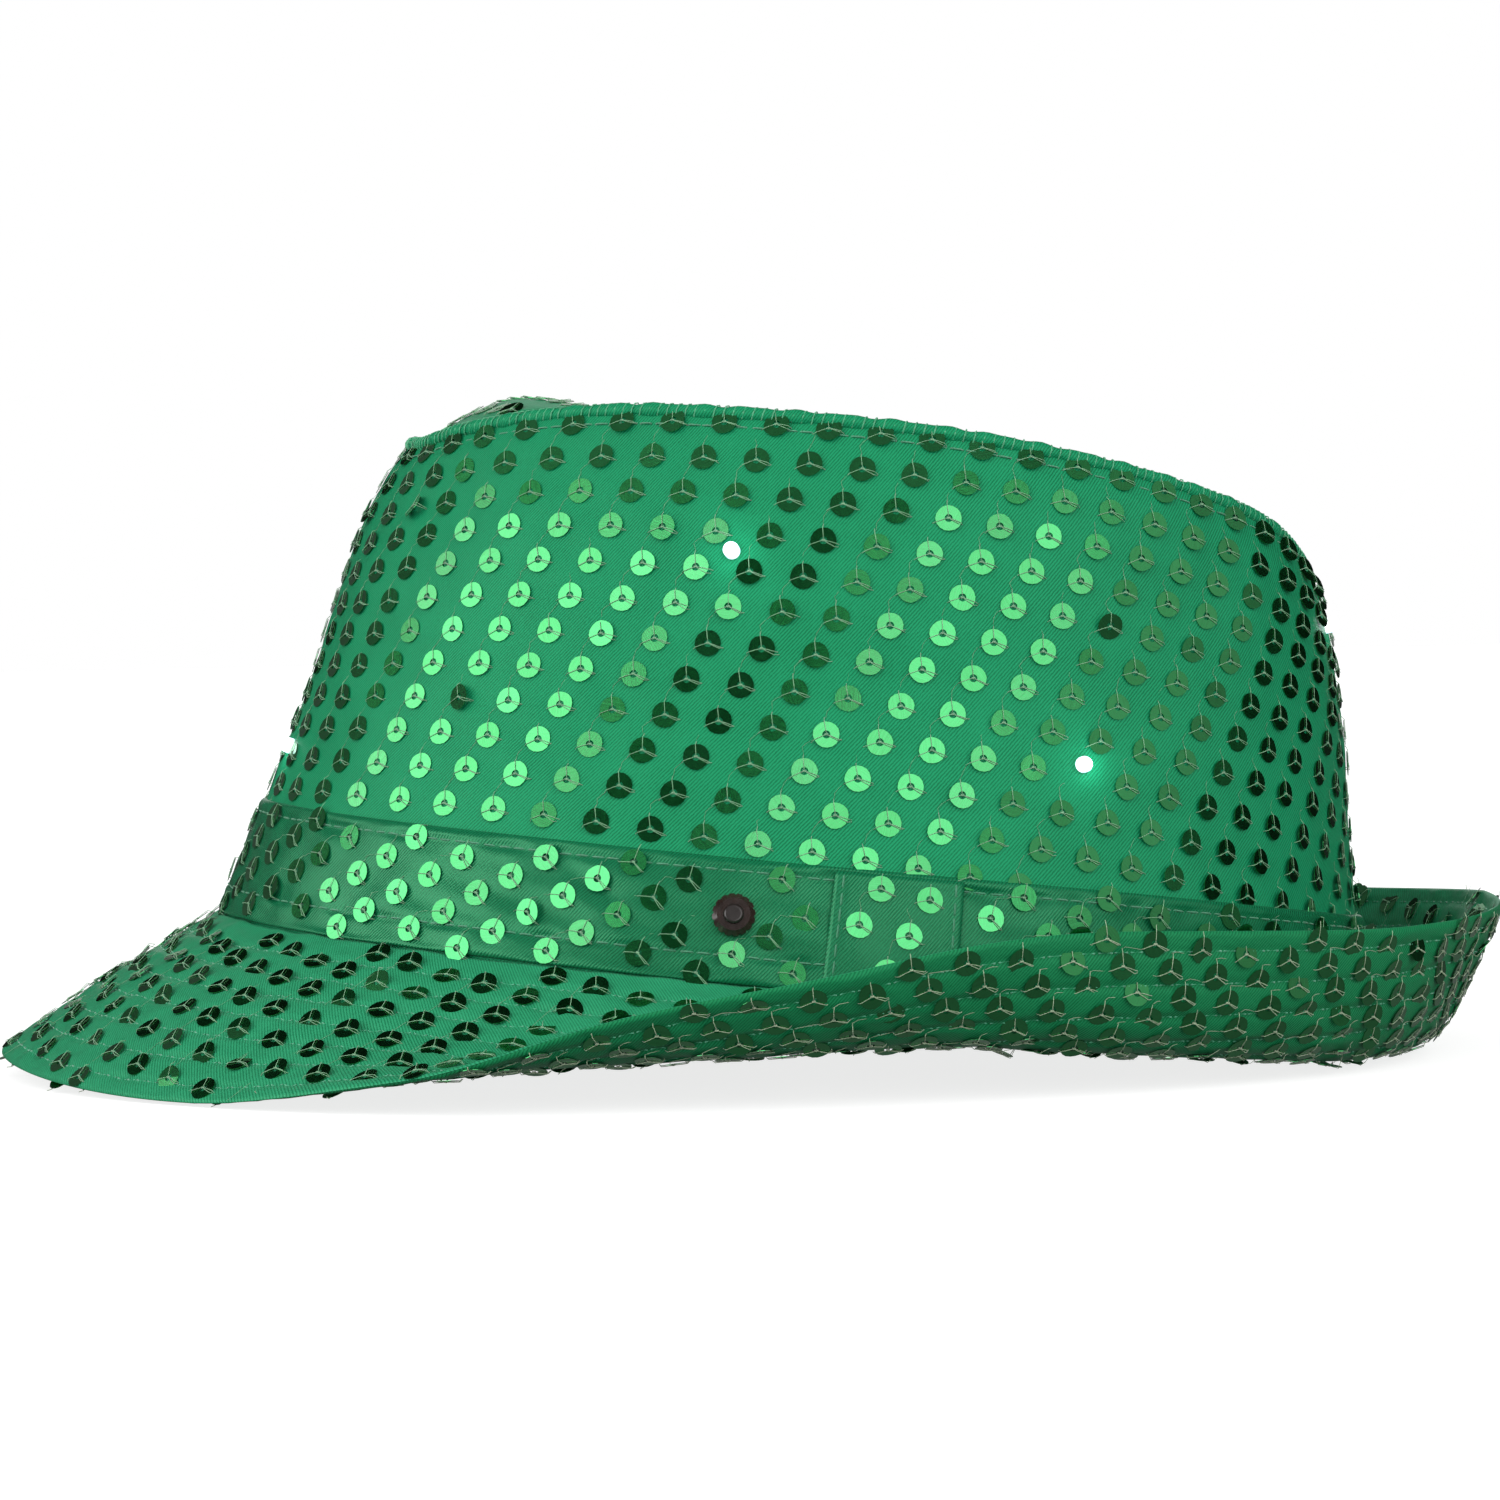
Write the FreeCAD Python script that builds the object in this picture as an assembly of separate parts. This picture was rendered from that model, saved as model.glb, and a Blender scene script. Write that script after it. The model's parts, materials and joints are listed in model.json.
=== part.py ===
"""Light-up sequin trilby: fabric crown, band and brim with an LED circuit.

Rest frame, millimetres: front of the hat to -Y, wearer's left to +X, +Z up.
The hat stands on its brim, with the origin at the middle of its box on the floor.
The hat is drawn in a head frame, whose plane is the head opening, and is then
tilted nose up about X, lifted and moved along Y.
"""
import FreeCAD
import Part
import math
import os

from FreeCAD import Vector

# Crown and head opening (head frame, outer face of the crown fabric)
HEAD_HALF_LENGTH = 112.3
HEAD_HALF_WIDTH = 83.8
HEAD_EGG = 0.05
TOP_HALF_LENGTH = 88.4
TOP_HALF_WIDTH = 60.0
TOP_EGG = 0.10
TOP_SHIFT = 2.0
# Rise of the crown-to-brim seam by angle from the front, in degrees
JUNCTION_RISE = ((0, 0.5), (35, 0.5), (70, 1.4), (120, 2.9), (180, 1.1))
# Height of the top seam by its place along Y
SEAM_HEIGHT = (
    (-84, 94.6), (-76, 97.9), (-60, 101.9), (-40, 104.5), (0, 105.8),
    (30, 104.6), (60, 100.8), (78, 96.0), (90.4, 87.6),
)
SHOULDER_BULGE = ((0, 3.0), (60, 2.0), (120, 2.3), (180, 2.5))
PINCH_DEPTH = 1.8
PINCH_ANGLE = 27.0
CREASE_DEPTH = 17.0
TIP_PUFF = 8.0
TIP_PUFF_PLACE = -69.0
TIP_PUFF_LENGTH = 17.0

# Brim: width, slope at the crown and at the edge (degrees, up is positive), place of the turn
BRIM_WIDTH = ((0, 49.3), (90, 47.0), (180, 38.5))
SLOPE_IN = ((0, -36.0), (45, -32.4), (75, -30.7), (100, -17.0), (135, -20.0), (180, -25.8))
SLOPE_OUT = (
    (0, -39.5), (40, -43.5), (60, -7.0), (75, 41.0),
    (90, 56.0), (110, 83.0), (140, 76.0), (180, 69.0),
)
TURN_PLACE = ((0, 0.39), (60, 0.67), (90, 0.585), (120, 0.48), (180, 0.10))
TURN_LENGTH = 0.7
BRIM_START = 0.4
BRIM_STEPS = 24
NOSE_UP = math.radians(7.4)

# Fabric layers as (inner, outer) distance from the outer face of the crown
CROWN_LAYER = (-0.7, 0.0)
STIFFENER_LAYER = (-1.5, -0.9)
LINING_LAYER = (-3.6, -3.2)
SWEATBAND_LAYER = (-4.5, -3.9)
BAND_LAYER = (0.2, 1.2)
TAB_LAYER = (1.35, 2.15)
UPPER_PLY = (0.35, 0.95)
BRIM_CORE = (-0.25, 0.25)
LOWER_PLY = (-0.95, -0.35)
BAND_BOTTOM = 1.4
BAND_HEIGHT = 22.0
SWEATBAND_HEIGHT = 30.0
LINING_START = 33.0
SEAM_SETBACK = 1.5
WELT_HALF_WIDTH = 1.15
WELT_HALF_HEIGHT = 1.3
WELT_INSET = 0.4
TIP_THICKNESS = 1.2
TIP_INSET = 1.7
LINING_TIP_DROP = 4.2
LINING_TIP_THICKNESS = 0.4
TAB_ANGLES = (89.0, 101.5)

# LEDs: angle from the front (towards the wearer's left) and height share of the wall
LED_PLACES = ((8.5, 0.362), (73.7, 0.756), (113.7, 0.451), (167.0, 0.89), (232.0, 0.45), (290.0, 0.75))
LED_RADIUS = 1.5
LED_FLANGE_RADIUS = 1.9
LED_FLANGE = (-2.5, -1.8)
LED_BODY_TOP = 1.1
LED_HOLE_RADIUS = 1.65
WIRE_RADIUS = 0.4
WIRE_DEPTH = -2.25
TRUNK_SHARE = 0.29
LEAD_GAP = 1.0
FRONT_TRUNK = (74.0, -68.0)
REAR_TRUNK = (96.0, 230.0)

# Switch and battery module, in a local frame: u towards the back, w up, n out of the wall
MODULE_ANGLE = 85.0
MODULE_SHARE = 0.162
CASE_LENGTH = 31.0
CASE_HEIGHT = 21.6
CASE_FRONT = -2.6
CASE_BACK = -12.2
CASE_WALL = 0.9
COVER = (-11.8, -10.8)
COVER_GROOVE = 0.6
RUNNING_GAP = 0.08
BUTTON_U = -9.5
BUTTON_W = -4.0
BUTTON_RADIUS = 1.75
BUTTON_FACE = 3.4
BUTTON_SHOULDER = -1.2
BUTTON_STEM_RADIUS = 1.1
BUTTON_STEM_END = -3.1
BUTTON_TRAVEL = 0.8
BEZEL_RADIUS = 3.9
BEZEL_SLEEVE_RADIUS = 2.5
BEZEL_FACE = 2.9
BEZEL_BASE = 1.25
CELL_RADIUS = 10.0
CELL_THICKNESS = 3.2
CELL_U = 4.0
POCKET_DEPTH = 9.85
POCKET_HALF = 18.5
POCKET_EDGE = 17.0
POCKET_START = 0.6
POCKET_RISE = 2.8

AROUND = 96
FINE_AROUND = 144
PI = math.pi


def smooth(t):
    t = max(0.0, min(1.0, t))
    return t * t * (3.0 - 2.0 * t)


def curve(points, x):
    """Smooth curve through the points, level past its ends."""
    last = len(points) - 1
    if x <= points[0][0]:
        return points[0][1]
    if x >= points[last][0]:
        return points[last][1]

    def slope(i):
        low = points[max(i - 1, 0)]
        high = points[min(i + 1, last)]
        return (high[1] - low[1]) / (high[0] - low[0])

    i = 0
    while x > points[i + 1][0]:
        i += 1
    span = points[i + 1][0] - points[i][0]
    t = (x - points[i][0]) / span
    rise = (2 * t ** 3 - 3 * t * t + 1) * points[i][1] + (3 * t * t - 2 * t ** 3) * points[i + 1][1]
    return rise + span * ((t ** 3 - 2 * t * t + t) * slope(i) + (t ** 3 - t * t) * slope(i + 1))


def fold_angle(t):
    """Degrees from the front, the same on both sides."""
    t = t % (2 * PI)
    return math.degrees(min(t, 2 * PI - t))


def oval(half_length, half_width, egg, t):
    return half_width * math.sin(t) * (1 - egg * math.cos(t)), -half_length * math.cos(t)


def outward(t):
    """Unit vector that points straight out of the head oval."""
    step = 1e-4
    x0, y0 = oval(HEAD_HALF_LENGTH, HEAD_HALF_WIDTH, HEAD_EGG, t - step)
    x1, y1 = oval(HEAD_HALF_LENGTH, HEAD_HALF_WIDTH, HEAD_EGG, t + step)
    length = math.hypot(x1 - x0, y1 - y0)
    return (y1 - y0) / length, -(x1 - x0) / length


def base_point(t):
    x, y = oval(HEAD_HALF_LENGTH, HEAD_HALF_WIDTH, HEAD_EGG, t)
    return x, y, curve(JUNCTION_RISE, fold_angle(t))


def seam_point(t):
    x, y = oval(TOP_HALF_LENGTH, TOP_HALF_WIDTH, TOP_EGG, t)
    y += TOP_SHIFT
    return x, y, curve(SEAM_HEIGHT, y)


def wall_point(t, share, offset=0.0):
    """Point of the crown wall: share 0 at the brim and 1 at the top seam."""
    low = base_point(t)
    high = seam_point(t)
    out = outward(t)
    angle = fold_angle(t)
    bulge = curve(SHOULDER_BULGE, angle) * 12.2 * share ** 4 * (1 - share)
    bulge -= PINCH_DEPTH * math.exp(-((angle - PINCH_ANGLE) / 11) ** 2 - ((share - 0.86) / 0.12) ** 2)
    reach = bulge + offset
    return (
        low[0] + (high[0] - low[0]) * share + out[0] * reach,
        low[1] + (high[1] - low[1]) * share + out[1] * reach,
        low[2] + (high[2] - low[2]) * share,
    )


def share_at(t, rise):
    """Share of the wall at a height above the brim seam."""
    return rise / (seam_point(t)[2] - base_point(t)[2])


def tip_height(x, y):
    """Height of the crown's tip: raised at the front, with a teardrop crease behind."""
    radius = math.hypot(x / TOP_HALF_WIDTH, (y - TOP_SHIFT) / TOP_HALF_LENGTH)
    along = smooth((y + 74) / 45) * smooth((74 - y) / 55)
    half_width = 20 + 0.05 * y
    inside = max(0.0, 1 - radius ** 4)
    crease = CREASE_DEPTH * along * math.exp(-(x / half_width) ** 2) * inside
    puff = TIP_PUFF * math.exp(-((y - TIP_PUFF_PLACE) / TIP_PUFF_LENGTH) ** 2) * inside
    return curve(SEAM_HEIGHT, y) - crease + puff


def brim_section(t, offset):
    """Points of the brim from the crown to its edge, offset to its upper side."""
    angle = fold_angle(t)
    start, end, place = (curve(law, angle) for law in (SLOPE_IN, SLOPE_OUT, TURN_PLACE))
    step = curve(BRIM_WIDTH, angle) / BRIM_STEPS
    x, y, z = base_point(t)
    out = outward(t)
    reach = BRIM_START
    rise = 0.0
    points = []
    for i in range(BRIM_STEPS + 1):
        turn = smooth((i / BRIM_STEPS - place + TURN_LENGTH / 2) / TURN_LENGTH)
        slope = math.radians(start + (end - start) * turn)
        level = reach - offset * math.sin(slope)
        points.append((x + out[0] * level, y + out[1] * level, z + rise + offset * math.cos(slope)))
        turn = smooth(((i + 0.5) / BRIM_STEPS - place + TURN_LENGTH / 2) / TURN_LENGTH)
        slope = math.radians(start + (end - start) * turn)
        reach += step * math.cos(slope)
        rise += step * math.sin(slope)
    return points


def tilt(x, y, z):
    return x, y * math.cos(NOSE_UP) + z * math.sin(NOSE_UP), z * math.cos(NOSE_UP) - y * math.sin(NOSE_UP)


def rest_moves():
    """Lift that stands the brim on the floor, and the shift that centres the hat on Y."""
    points = [tilt(*p) for i in range(360) for p in brim_section(math.radians(i), LOWER_PLY[0])]
    middle = (min(p[1] for p in points) + max(p[1] for p in points)) / 2
    return -min(p[2] for p in points), -middle


LIFT, SHIFT = rest_moves()


def rest(point):
    x, y, z = tilt(*point)
    return Vector(x, y + SHIFT, z + LIFT)


def direction(x, y, z):
    return Vector(*tilt(x, y, z))


def solid_of(face):
    solid = Part.Solid(Part.Shell([face]))
    if solid.Volume < 0:
        solid.reverse()
    return solid


def ring_solid(sections):
    """Closed solid through one loop of points for each angle round the hat."""
    count = len(sections)
    poles = []
    for i in range(count):
        before, here, after = sections[i - 1], sections[i], sections[(i + 1) % count]
        poles.append([h - (a - h * 2 + b) / 6 for b, h, a in zip(before, here, after)])
    loop = len(sections[0])
    surface = Part.BSplineSurface()
    surface.buildFromPolesMultsKnots(
        poles, [1] * (count + 1), [1] * (loop + 1),
        list(range(count + 1)), list(range(loop + 1)), True, True, 3, 3)
    return solid_of(surface.toShape())


def turns(count):
    return [2 * PI * i / count for i in range(count)]


def edge_steps(length, middle):
    """Distances along a layer, close together at both ends so that its edges are crisp."""
    ends = (0.0, 0.3, 1.2, 3.0)
    inner = [3.0 + (length - 6.0) * i / middle for i in range(1, middle)]
    return list(ends) + inner + [length - e for e in reversed(ends)]


def wall_layer(layer, bottom, top, count=AROUND, middle=7, depth=None):
    """Layer of the crown wall between two heights above the brim seam, each a function of the angle."""
    sections = []
    for t in turns(count):
        low = bottom(t)
        rises = [low + d for d in edge_steps(top(t) - low, middle)]
        loop = []
        for side, order in ((layer[1], rises), (layer[0], list(reversed(rises)))):
            for rise in order:
                extra = depth(t, rise) if depth else 0.0
                loop.append(rest(wall_point(t, share_at(t, rise), side - extra)))
        sections.append(loop)
    return ring_solid(sections)


def wall_height(t):
    return seam_point(t)[2] - base_point(t)[2] - SEAM_SETBACK


def brim_layer(layer):
    sections = []
    for t in turns(AROUND):
        upper = brim_section(t, layer[1])
        lower = brim_section(t, layer[0])
        for side in (upper, lower):
            side.insert(1, tuple(0.85 * a + 0.15 * b for a, b in zip(side[0], side[1])))
            side.insert(-1, tuple(0.15 * a + 0.85 * b for a, b in zip(side[-2], side[-1])))
        sections.append([rest(p) for p in upper + lower[::-1]])
    return ring_solid(sections)


def welt():
    """Raised, overlocked seam between the crown's side and its tip."""
    sections = []
    for t in turns(AROUND):
        x, y, z = seam_point(t)
        out = outward(t)
        loop = []
        for i in range(12):
            a = 2 * PI * i / 12
            reach = WELT_HALF_WIDTH * math.cos(a) - WELT_INSET
            loop.append(rest((x + out[0] * reach, y + out[1] * reach, z + 0.2 + WELT_HALF_HEIGHT * math.sin(a))))
        sections.append(loop)
    return ring_solid(sections)


def tip_sheet(drop, thickness, inset):
    """Creased sheet of the crown's tip, cut to the oval of the top seam."""
    xs = [-78 + 6 * i for i in range(27)]
    ys = [-102 + 6 * i for i in range(36)]
    surface = Part.BSplineSurface()
    surface.interpolate([[rest((x, y, tip_height(x, y) - drop)) for y in ys] for x in xs])
    sheet = surface.toShape().extrude(direction(0, 0, -thickness))
    outline = Part.BSplineCurve()
    points = []
    for t in turns(48):
        x, y, z = seam_point(t)
        out = outward(t)
        points.append(rest((x - out[0] * inset, y - out[1] * inset, 0)))
    outline.interpolate(points, PeriodicFlag=True)
    prism = Part.Face(Part.Wire(outline.toShape())).extrude(direction(0, 0, 150))
    return sheet.common(prism).Solids[0]


def wall_frame(t, share):
    """Placement with its x towards the back, y up the wall and z out of the wall."""
    step = 1e-3
    here = rest(wall_point(t, share))
    along = rest(wall_point(t + step, share)) - rest(wall_point(t - step, share))
    up = rest(wall_point(t, share + step)) - rest(wall_point(t, share - step))
    along.normalize()
    out = along.cross(up)
    out.normalize()
    up = out.cross(along)
    matrix = FreeCAD.Matrix(
        along.x, up.x, out.x, here.x,
        along.y, up.y, out.y, here.y,
        along.z, up.z, out.z, here.z,
        0, 0, 0, 1)
    return FreeCAD.Placement(matrix)


def placed(shape, frame):
    shape.Placement = frame.multiply(shape.Placement)
    return shape


def cylinder(radius, low, high, x=0.0, y=0.0):
    return Part.makeCylinder(radius, high - low, Vector(x, y, low))


def block(x0, x1, y0, y1, z0, z1):
    return Part.makeBox(x1 - x0, y1 - y0, z1 - z0, Vector(x0, y0, z0))


LED_FRAMES = [wall_frame(math.radians(a), s) for a, s in LED_PLACES]
MODULE = wall_frame(math.radians(MODULE_ANGLE), MODULE_SHARE)


def button_hole(radius):
    return placed(cylinder(radius, -6, 8, BUTTON_U, BUTTON_W), MODULE)


def pierced(solid, leds=True, radius=LED_HOLE_RADIUS):
    """The layer with its LED holes and the hole of the button's sleeve."""
    solid = solid.cut(button_hole(BEZEL_SLEEVE_RADIUS + 0.15))
    if leds:
        for frame in LED_FRAMES:
            solid = solid.cut(placed(cylinder(radius, -5, 5), frame))
    return solid


def pocket(t, rise):
    """Extra depth of the sweatband where it covers the battery case."""
    x, y = oval(HEAD_HALF_LENGTH, HEAD_HALF_WIDTH, HEAD_EGG, t)
    centre = oval(HEAD_HALF_LENGTH, HEAD_HALF_WIDTH, HEAD_EGG, math.radians(MODULE_ANGLE))[1]
    if x < 0:
        return 0.0
    across = 1 - smooth((abs(y - centre) - POCKET_HALF) / POCKET_EDGE)
    return POCKET_DEPTH * across * smooth((rise - POCKET_START) / POCKET_RISE)


def tab():
    """Folded end of the band, lapped over it behind the button."""
    first, last = TAB_ANGLES
    heights = (BAND_BOTTOM + 0.6, BAND_BOTTOM + BAND_HEIGHT * 0.5, BAND_BOTTOM + BAND_HEIGHT - 0.8)
    faces = []
    grids = []
    for side in TAB_LAYER:
        grid = []
        for i in range(7):
            t = math.radians(first + (last - first) * i / 6)
            grid.append([rest(wall_point(t, share_at(t, rise), side)) for rise in heights])
        grids.append(grid)
        surface = Part.BSplineSurface()
        surface.interpolate(grid)
        faces.append(surface.toShape())
    inner, outer = faces
    sides = [Part.makeRuledSurface(a, b) for a, b in zip(inner.Edges, outer.Edges)]
    shell = Part.Shell(faces + sides)
    shell.sewShape()
    solid = Part.Solid(shell)
    if solid.Volume < 0:
        solid.reverse()
    return solid


def tube(points, radius):
    """Round tube along straight runs joined by tangent arcs."""
    edges = []
    start = points[0]
    for i in range(1, len(points) - 1):
        corner = points[i]
        back = points[i - 1] - corner
        ahead = points[i + 1] - corner
        reach = 0.45 * min(back.Length, ahead.Length)
        back.normalize()
        ahead.normalize()
        turn = PI - back.getAngle(ahead)
        bend = reach / math.tan(turn / 2)
        middle = back + ahead
        middle.normalize()
        depth = bend / math.cos(turn / 2) - bend
        first = corner + back * reach
        last = corner + ahead * reach
        edges.append(Part.LineSegment(start, first).toShape())
        edges.append(Part.Arc(first, corner + middle * depth, last).toShape())
        start = last
    edges.append(Part.LineSegment(start, points[-1]).toShape())
    path = Part.Wire(edges)
    heading = points[1] - points[0]
    ring = Part.Wire(Part.makeCircle(radius, points[0], heading))
    solid = path.makePipeShell([ring], True, False)
    print("tube length %.1f, volume ratio %.3f" % (path.Length, solid.Volume / (PI * radius ** 2 * path.Length)))
    return solid


def trunk(first, last):
    """Wire that runs round the hat between the stiffener and the lining."""
    count = max(4, int(abs(last - first) / 8))
    points = []
    for i in range(count + 1):
        t = math.radians(first + (last - first) * i / count)
        points.append(rest(wall_point(t, TRUNK_SHARE, WIRE_DEPTH)))
    return tube(points, WIRE_RADIUS)


def led(frame):
    lens = cylinder(LED_RADIUS, LED_FLANGE[0], LED_BODY_TOP)
    lens = lens.fuse(cylinder(LED_FLANGE_RADIUS, *LED_FLANGE))
    dome = Part.makeSphere(LED_RADIUS, Vector(0, 0, LED_BODY_TOP))
    return placed(lens.fuse(dome).removeSplitter(), frame)


def led_lead(angle, share):
    """Lead from the foot of an LED to the trunk wire."""
    t = math.radians(angle)
    height = seam_point(t)[2]
    up = 1 if share > TRUNK_SHARE else -1
    low = TRUNK_SHARE + up * (WIRE_RADIUS * 2 + 0.3) / height
    high = share - up * (LED_FLANGE_RADIUS + LEAD_GAP) / height
    count = max(1, round(abs(high - low) * height / 14))
    points = []
    for i in range(count + 1):
        sway = 0.6 * (1 if i % 2 else -1) if 0 < i < count else 0.0
        h = low + (high - low) * i / count
        points.append(rest(wall_point(t + math.radians(sway), h, WIRE_DEPTH)))
    if count == 1:
        middle = (points[0] + points[1]) * 0.5
        return Part.makeCylinder(WIRE_RADIUS, (points[1] - points[0]).Length, points[0], points[1] - middle)
    return tube(points, WIRE_RADIUS)


def case():
    """Tray of the battery case, open to the head and grooved for its sliding cover."""
    u = CASE_LENGTH / 2
    w = CASE_HEIGHT / 2
    body = block(-u, u, -w, w, CASE_BACK, CASE_FRONT)
    body = body.cut(block(-u + CASE_WALL, u - CASE_WALL, -w + CASE_WALL, w - CASE_WALL, CASE_BACK - 1,
                          CASE_FRONT - CASE_WALL))
    reach = u - CASE_WALL + COVER_GROOVE
    body = body.cut(block(-reach - RUNNING_GAP, reach + RUNNING_GAP, -w + CASE_WALL, w + 1,
                          COVER[0] - RUNNING_GAP, COVER[1] + RUNNING_GAP))
    body = body.cut(block(-u + CASE_WALL, u - CASE_WALL, w - CASE_WALL - 1, w + 1, CASE_BACK - 1, COVER[1]))
    return placed(body.cut(cylinder(BUTTON_STEM_RADIUS + 0.3, -5, 0, BUTTON_U, BUTTON_W)), MODULE)


def cover():
    """Sliding cover of the battery case with a ribbed thumb grip."""
    reach = CASE_LENGTH / 2 - CASE_WALL + COVER_GROOVE
    w = CASE_HEIGHT / 2
    plate = block(-reach, reach, -w + CASE_WALL + 0.1, w, COVER[0], COVER[1])
    for i in range(4):
        rise = 1.0 + 2.0 * i
        plate = plate.fuse(block(-6, 6, rise, rise + 0.8, COVER[0] - 0.35, COVER[0] + 0.2))
    return placed(plate.removeSplitter(), MODULE)


def button():
    """Push cap: a domed face, a body that runs in the bezel and a stem to the switch."""
    cap = cylinder(BUTTON_RADIUS, BUTTON_SHOULDER, BUTTON_FACE, BUTTON_U, BUTTON_W)
    rim = [e for e in cap.Edges if abs(e.CenterOfMass.z - BUTTON_FACE) < 0.01 and len(e.Vertexes) == 1]
    cap = cap.makeFillet(0.45, rim)
    stem = cylinder(BUTTON_STEM_RADIUS, BUTTON_STEM_END, BUTTON_SHOULDER, BUTTON_U, BUTTON_W)
    return placed(cap.fuse(stem), MODULE)


def bezel():
    """Flanged ring of the button with a crimped rim, on a sleeve through the fabric."""
    flange = cylinder(BEZEL_RADIUS, BEZEL_BASE, BEZEL_FACE, BUTTON_U, BUTTON_W)
    top = [e for e in flange.Edges if abs(e.CenterOfMass.z - BEZEL_FACE) < 0.01 and len(e.Vertexes) == 1]
    flange = flange.makeChamfer(0.9, top)
    sleeve = cylinder(BEZEL_SLEEVE_RADIUS, CASE_FRONT + 0.05, BEZEL_BASE, BUTTON_U, BUTTON_W)
    ring = flange.fuse(sleeve)
    for i in range(16):
        a = 2 * PI * i / 16
        ring = ring.cut(cylinder(0.35, BEZEL_BASE - 1, BEZEL_FACE + 1,
                                 BUTTON_U + (BEZEL_RADIUS + 0.1) * math.cos(a),
                                 BUTTON_W + (BEZEL_RADIUS + 0.1) * math.sin(a)))
    return placed(ring.cut(cylinder(BUTTON_RADIUS + RUNNING_GAP, -9, 9, BUTTON_U, BUTTON_W)), MODULE)


def electronics():
    """Board, chip, switch, cells and contacts inside the battery case."""
    inner_u = CASE_LENGTH / 2 - CASE_WALL
    inner_w = CASE_HEIGHT / 2 - CASE_WALL
    floor = CASE_FRONT - CASE_WALL
    board_back = floor - 3.6
    pieces = {
        "circuit_board": block(-inner_u + 0.1, -6.3, -inner_w + 0.1, inner_w - 0.1, board_back, board_back + 0.8),
        "tact_switch": block(BUTTON_U - 2.6, BUTTON_U + 2.6, BUTTON_W - 2.6, BUTTON_W + 2.6,
                             board_back + 0.85, BUTTON_STEM_END - BUTTON_TRAVEL - 0.1),
        "driver_chip": block(-12.5, -8.5, 3.0, 8.0, board_back - 1.4, board_back - 0.05),
        "led_resistor": block(-12.5, -9.3, -6.6, -5.0, board_back - 0.7, board_back - 0.05),
    }
    upper = floor - 0.3
    pieces["battery_cell_front"] = cylinder(CELL_RADIUS - 0.2, upper - CELL_THICKNESS, upper, CELL_U)
    lower = upper - CELL_THICKNESS - 0.1
    pieces["battery_cell_back"] = cylinder(CELL_RADIUS - 0.2, lower - CELL_THICKNESS, lower, CELL_U)
    pieces["contact_negative"] = block(CELL_U - 2, CELL_U + 9, -1.5, 1.5, floor - 0.2, floor - 0.05)
    clip = block(inner_u - 0.3, inner_u - 0.1, -2.5, 2.5, lower - CELL_THICKNESS + 0.3, floor - 0.4)
    pieces["contact_positive"] = clip
    return {name: placed(shape, MODULE) for name, shape in pieces.items()}


def bottom_edge(rise):
    return lambda t: rise


def build():
    nodes = {
        "crown_side_panel": pierced(wall_layer(CROWN_LAYER, bottom_edge(0.0), wall_height)),
        "crown_stiffener": pierced(wall_layer(STIFFENER_LAYER, bottom_edge(2.0), lambda t: wall_height(t) - 1.5)),
        "crown_tip_panel": tip_sheet(0.0, TIP_THICKNESS, TIP_INSET),
        "crown_seam_welt": welt(),
        "hatband": pierced(
            wall_layer(BAND_LAYER, bottom_edge(BAND_BOTTOM), bottom_edge(BAND_BOTTOM + BAND_HEIGHT), middle=4),
            leds=False),
        "hatband_tab": tab(),
        "brim_upper_ply": brim_layer(UPPER_PLY),
        "brim_stiffener": brim_layer(BRIM_CORE),
        "brim_lower_ply": brim_layer(LOWER_PLY),
        "sweatband": wall_layer(
            SWEATBAND_LAYER, bottom_edge(0.4), bottom_edge(SWEATBAND_HEIGHT), FINE_AROUND, 9, pocket),
        "lining_side": wall_layer(LINING_LAYER, bottom_edge(LINING_START), lambda t: wall_height(t) - 7.5),
        "lining_tip": tip_sheet(LINING_TIP_DROP, LINING_TIP_THICKNESS, 6.5),
        "harness_front": trunk(*FRONT_TRUNK),
        "harness_rear": trunk(*REAR_TRUNK),
        "switch_case": case(),
        "battery_cover": cover(),
        "button_cap": button(),
        "switch_bezel": bezel(),
    }
    for i, frame in enumerate(LED_FRAMES, 1):
        nodes["led_lens_%d" % i] = led(frame)
        nodes["led_lead_%d" % i] = led_lead(*LED_PLACES[i - 1])
    nodes.update(electronics())
    return nodes


os.makedirs("parts", exist_ok=True)
for name, shape in build().items():
    solids = shape.Solids
    piece = solids[0] if len(solids) == 1 else shape
    if len(solids) != 1 or not piece.isValid():
        print("CHECK", name, "solids", len(solids), "valid", piece.isValid())
    box = piece.BoundBox
    print("%-20s volume %9.1f  z %.2f to %.2f" % (name, piece.Volume, box.ZMin, box.ZMax))
    piece.exportStep("parts/%s.step" % name)
print("lift %.3f shift %.3f" % (LIFT, SHIFT))
print("button axis", MODULE.Rotation.multVec(Vector(0, 0, -1)))
print("cover axis", MODULE.Rotation.multVec(Vector(0, 1, 0)))
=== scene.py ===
"""Looks of the light-up sequin trilby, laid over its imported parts.

Shapes are drawn in millimetres in the hat's own head frame (front to -Y, wearer's
left to +X, the head opening level) and stood on the floor in metres by rest().
"""
import json
import math

import bpy
import numpy as np
from mathutils import Matrix, Vector


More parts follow.
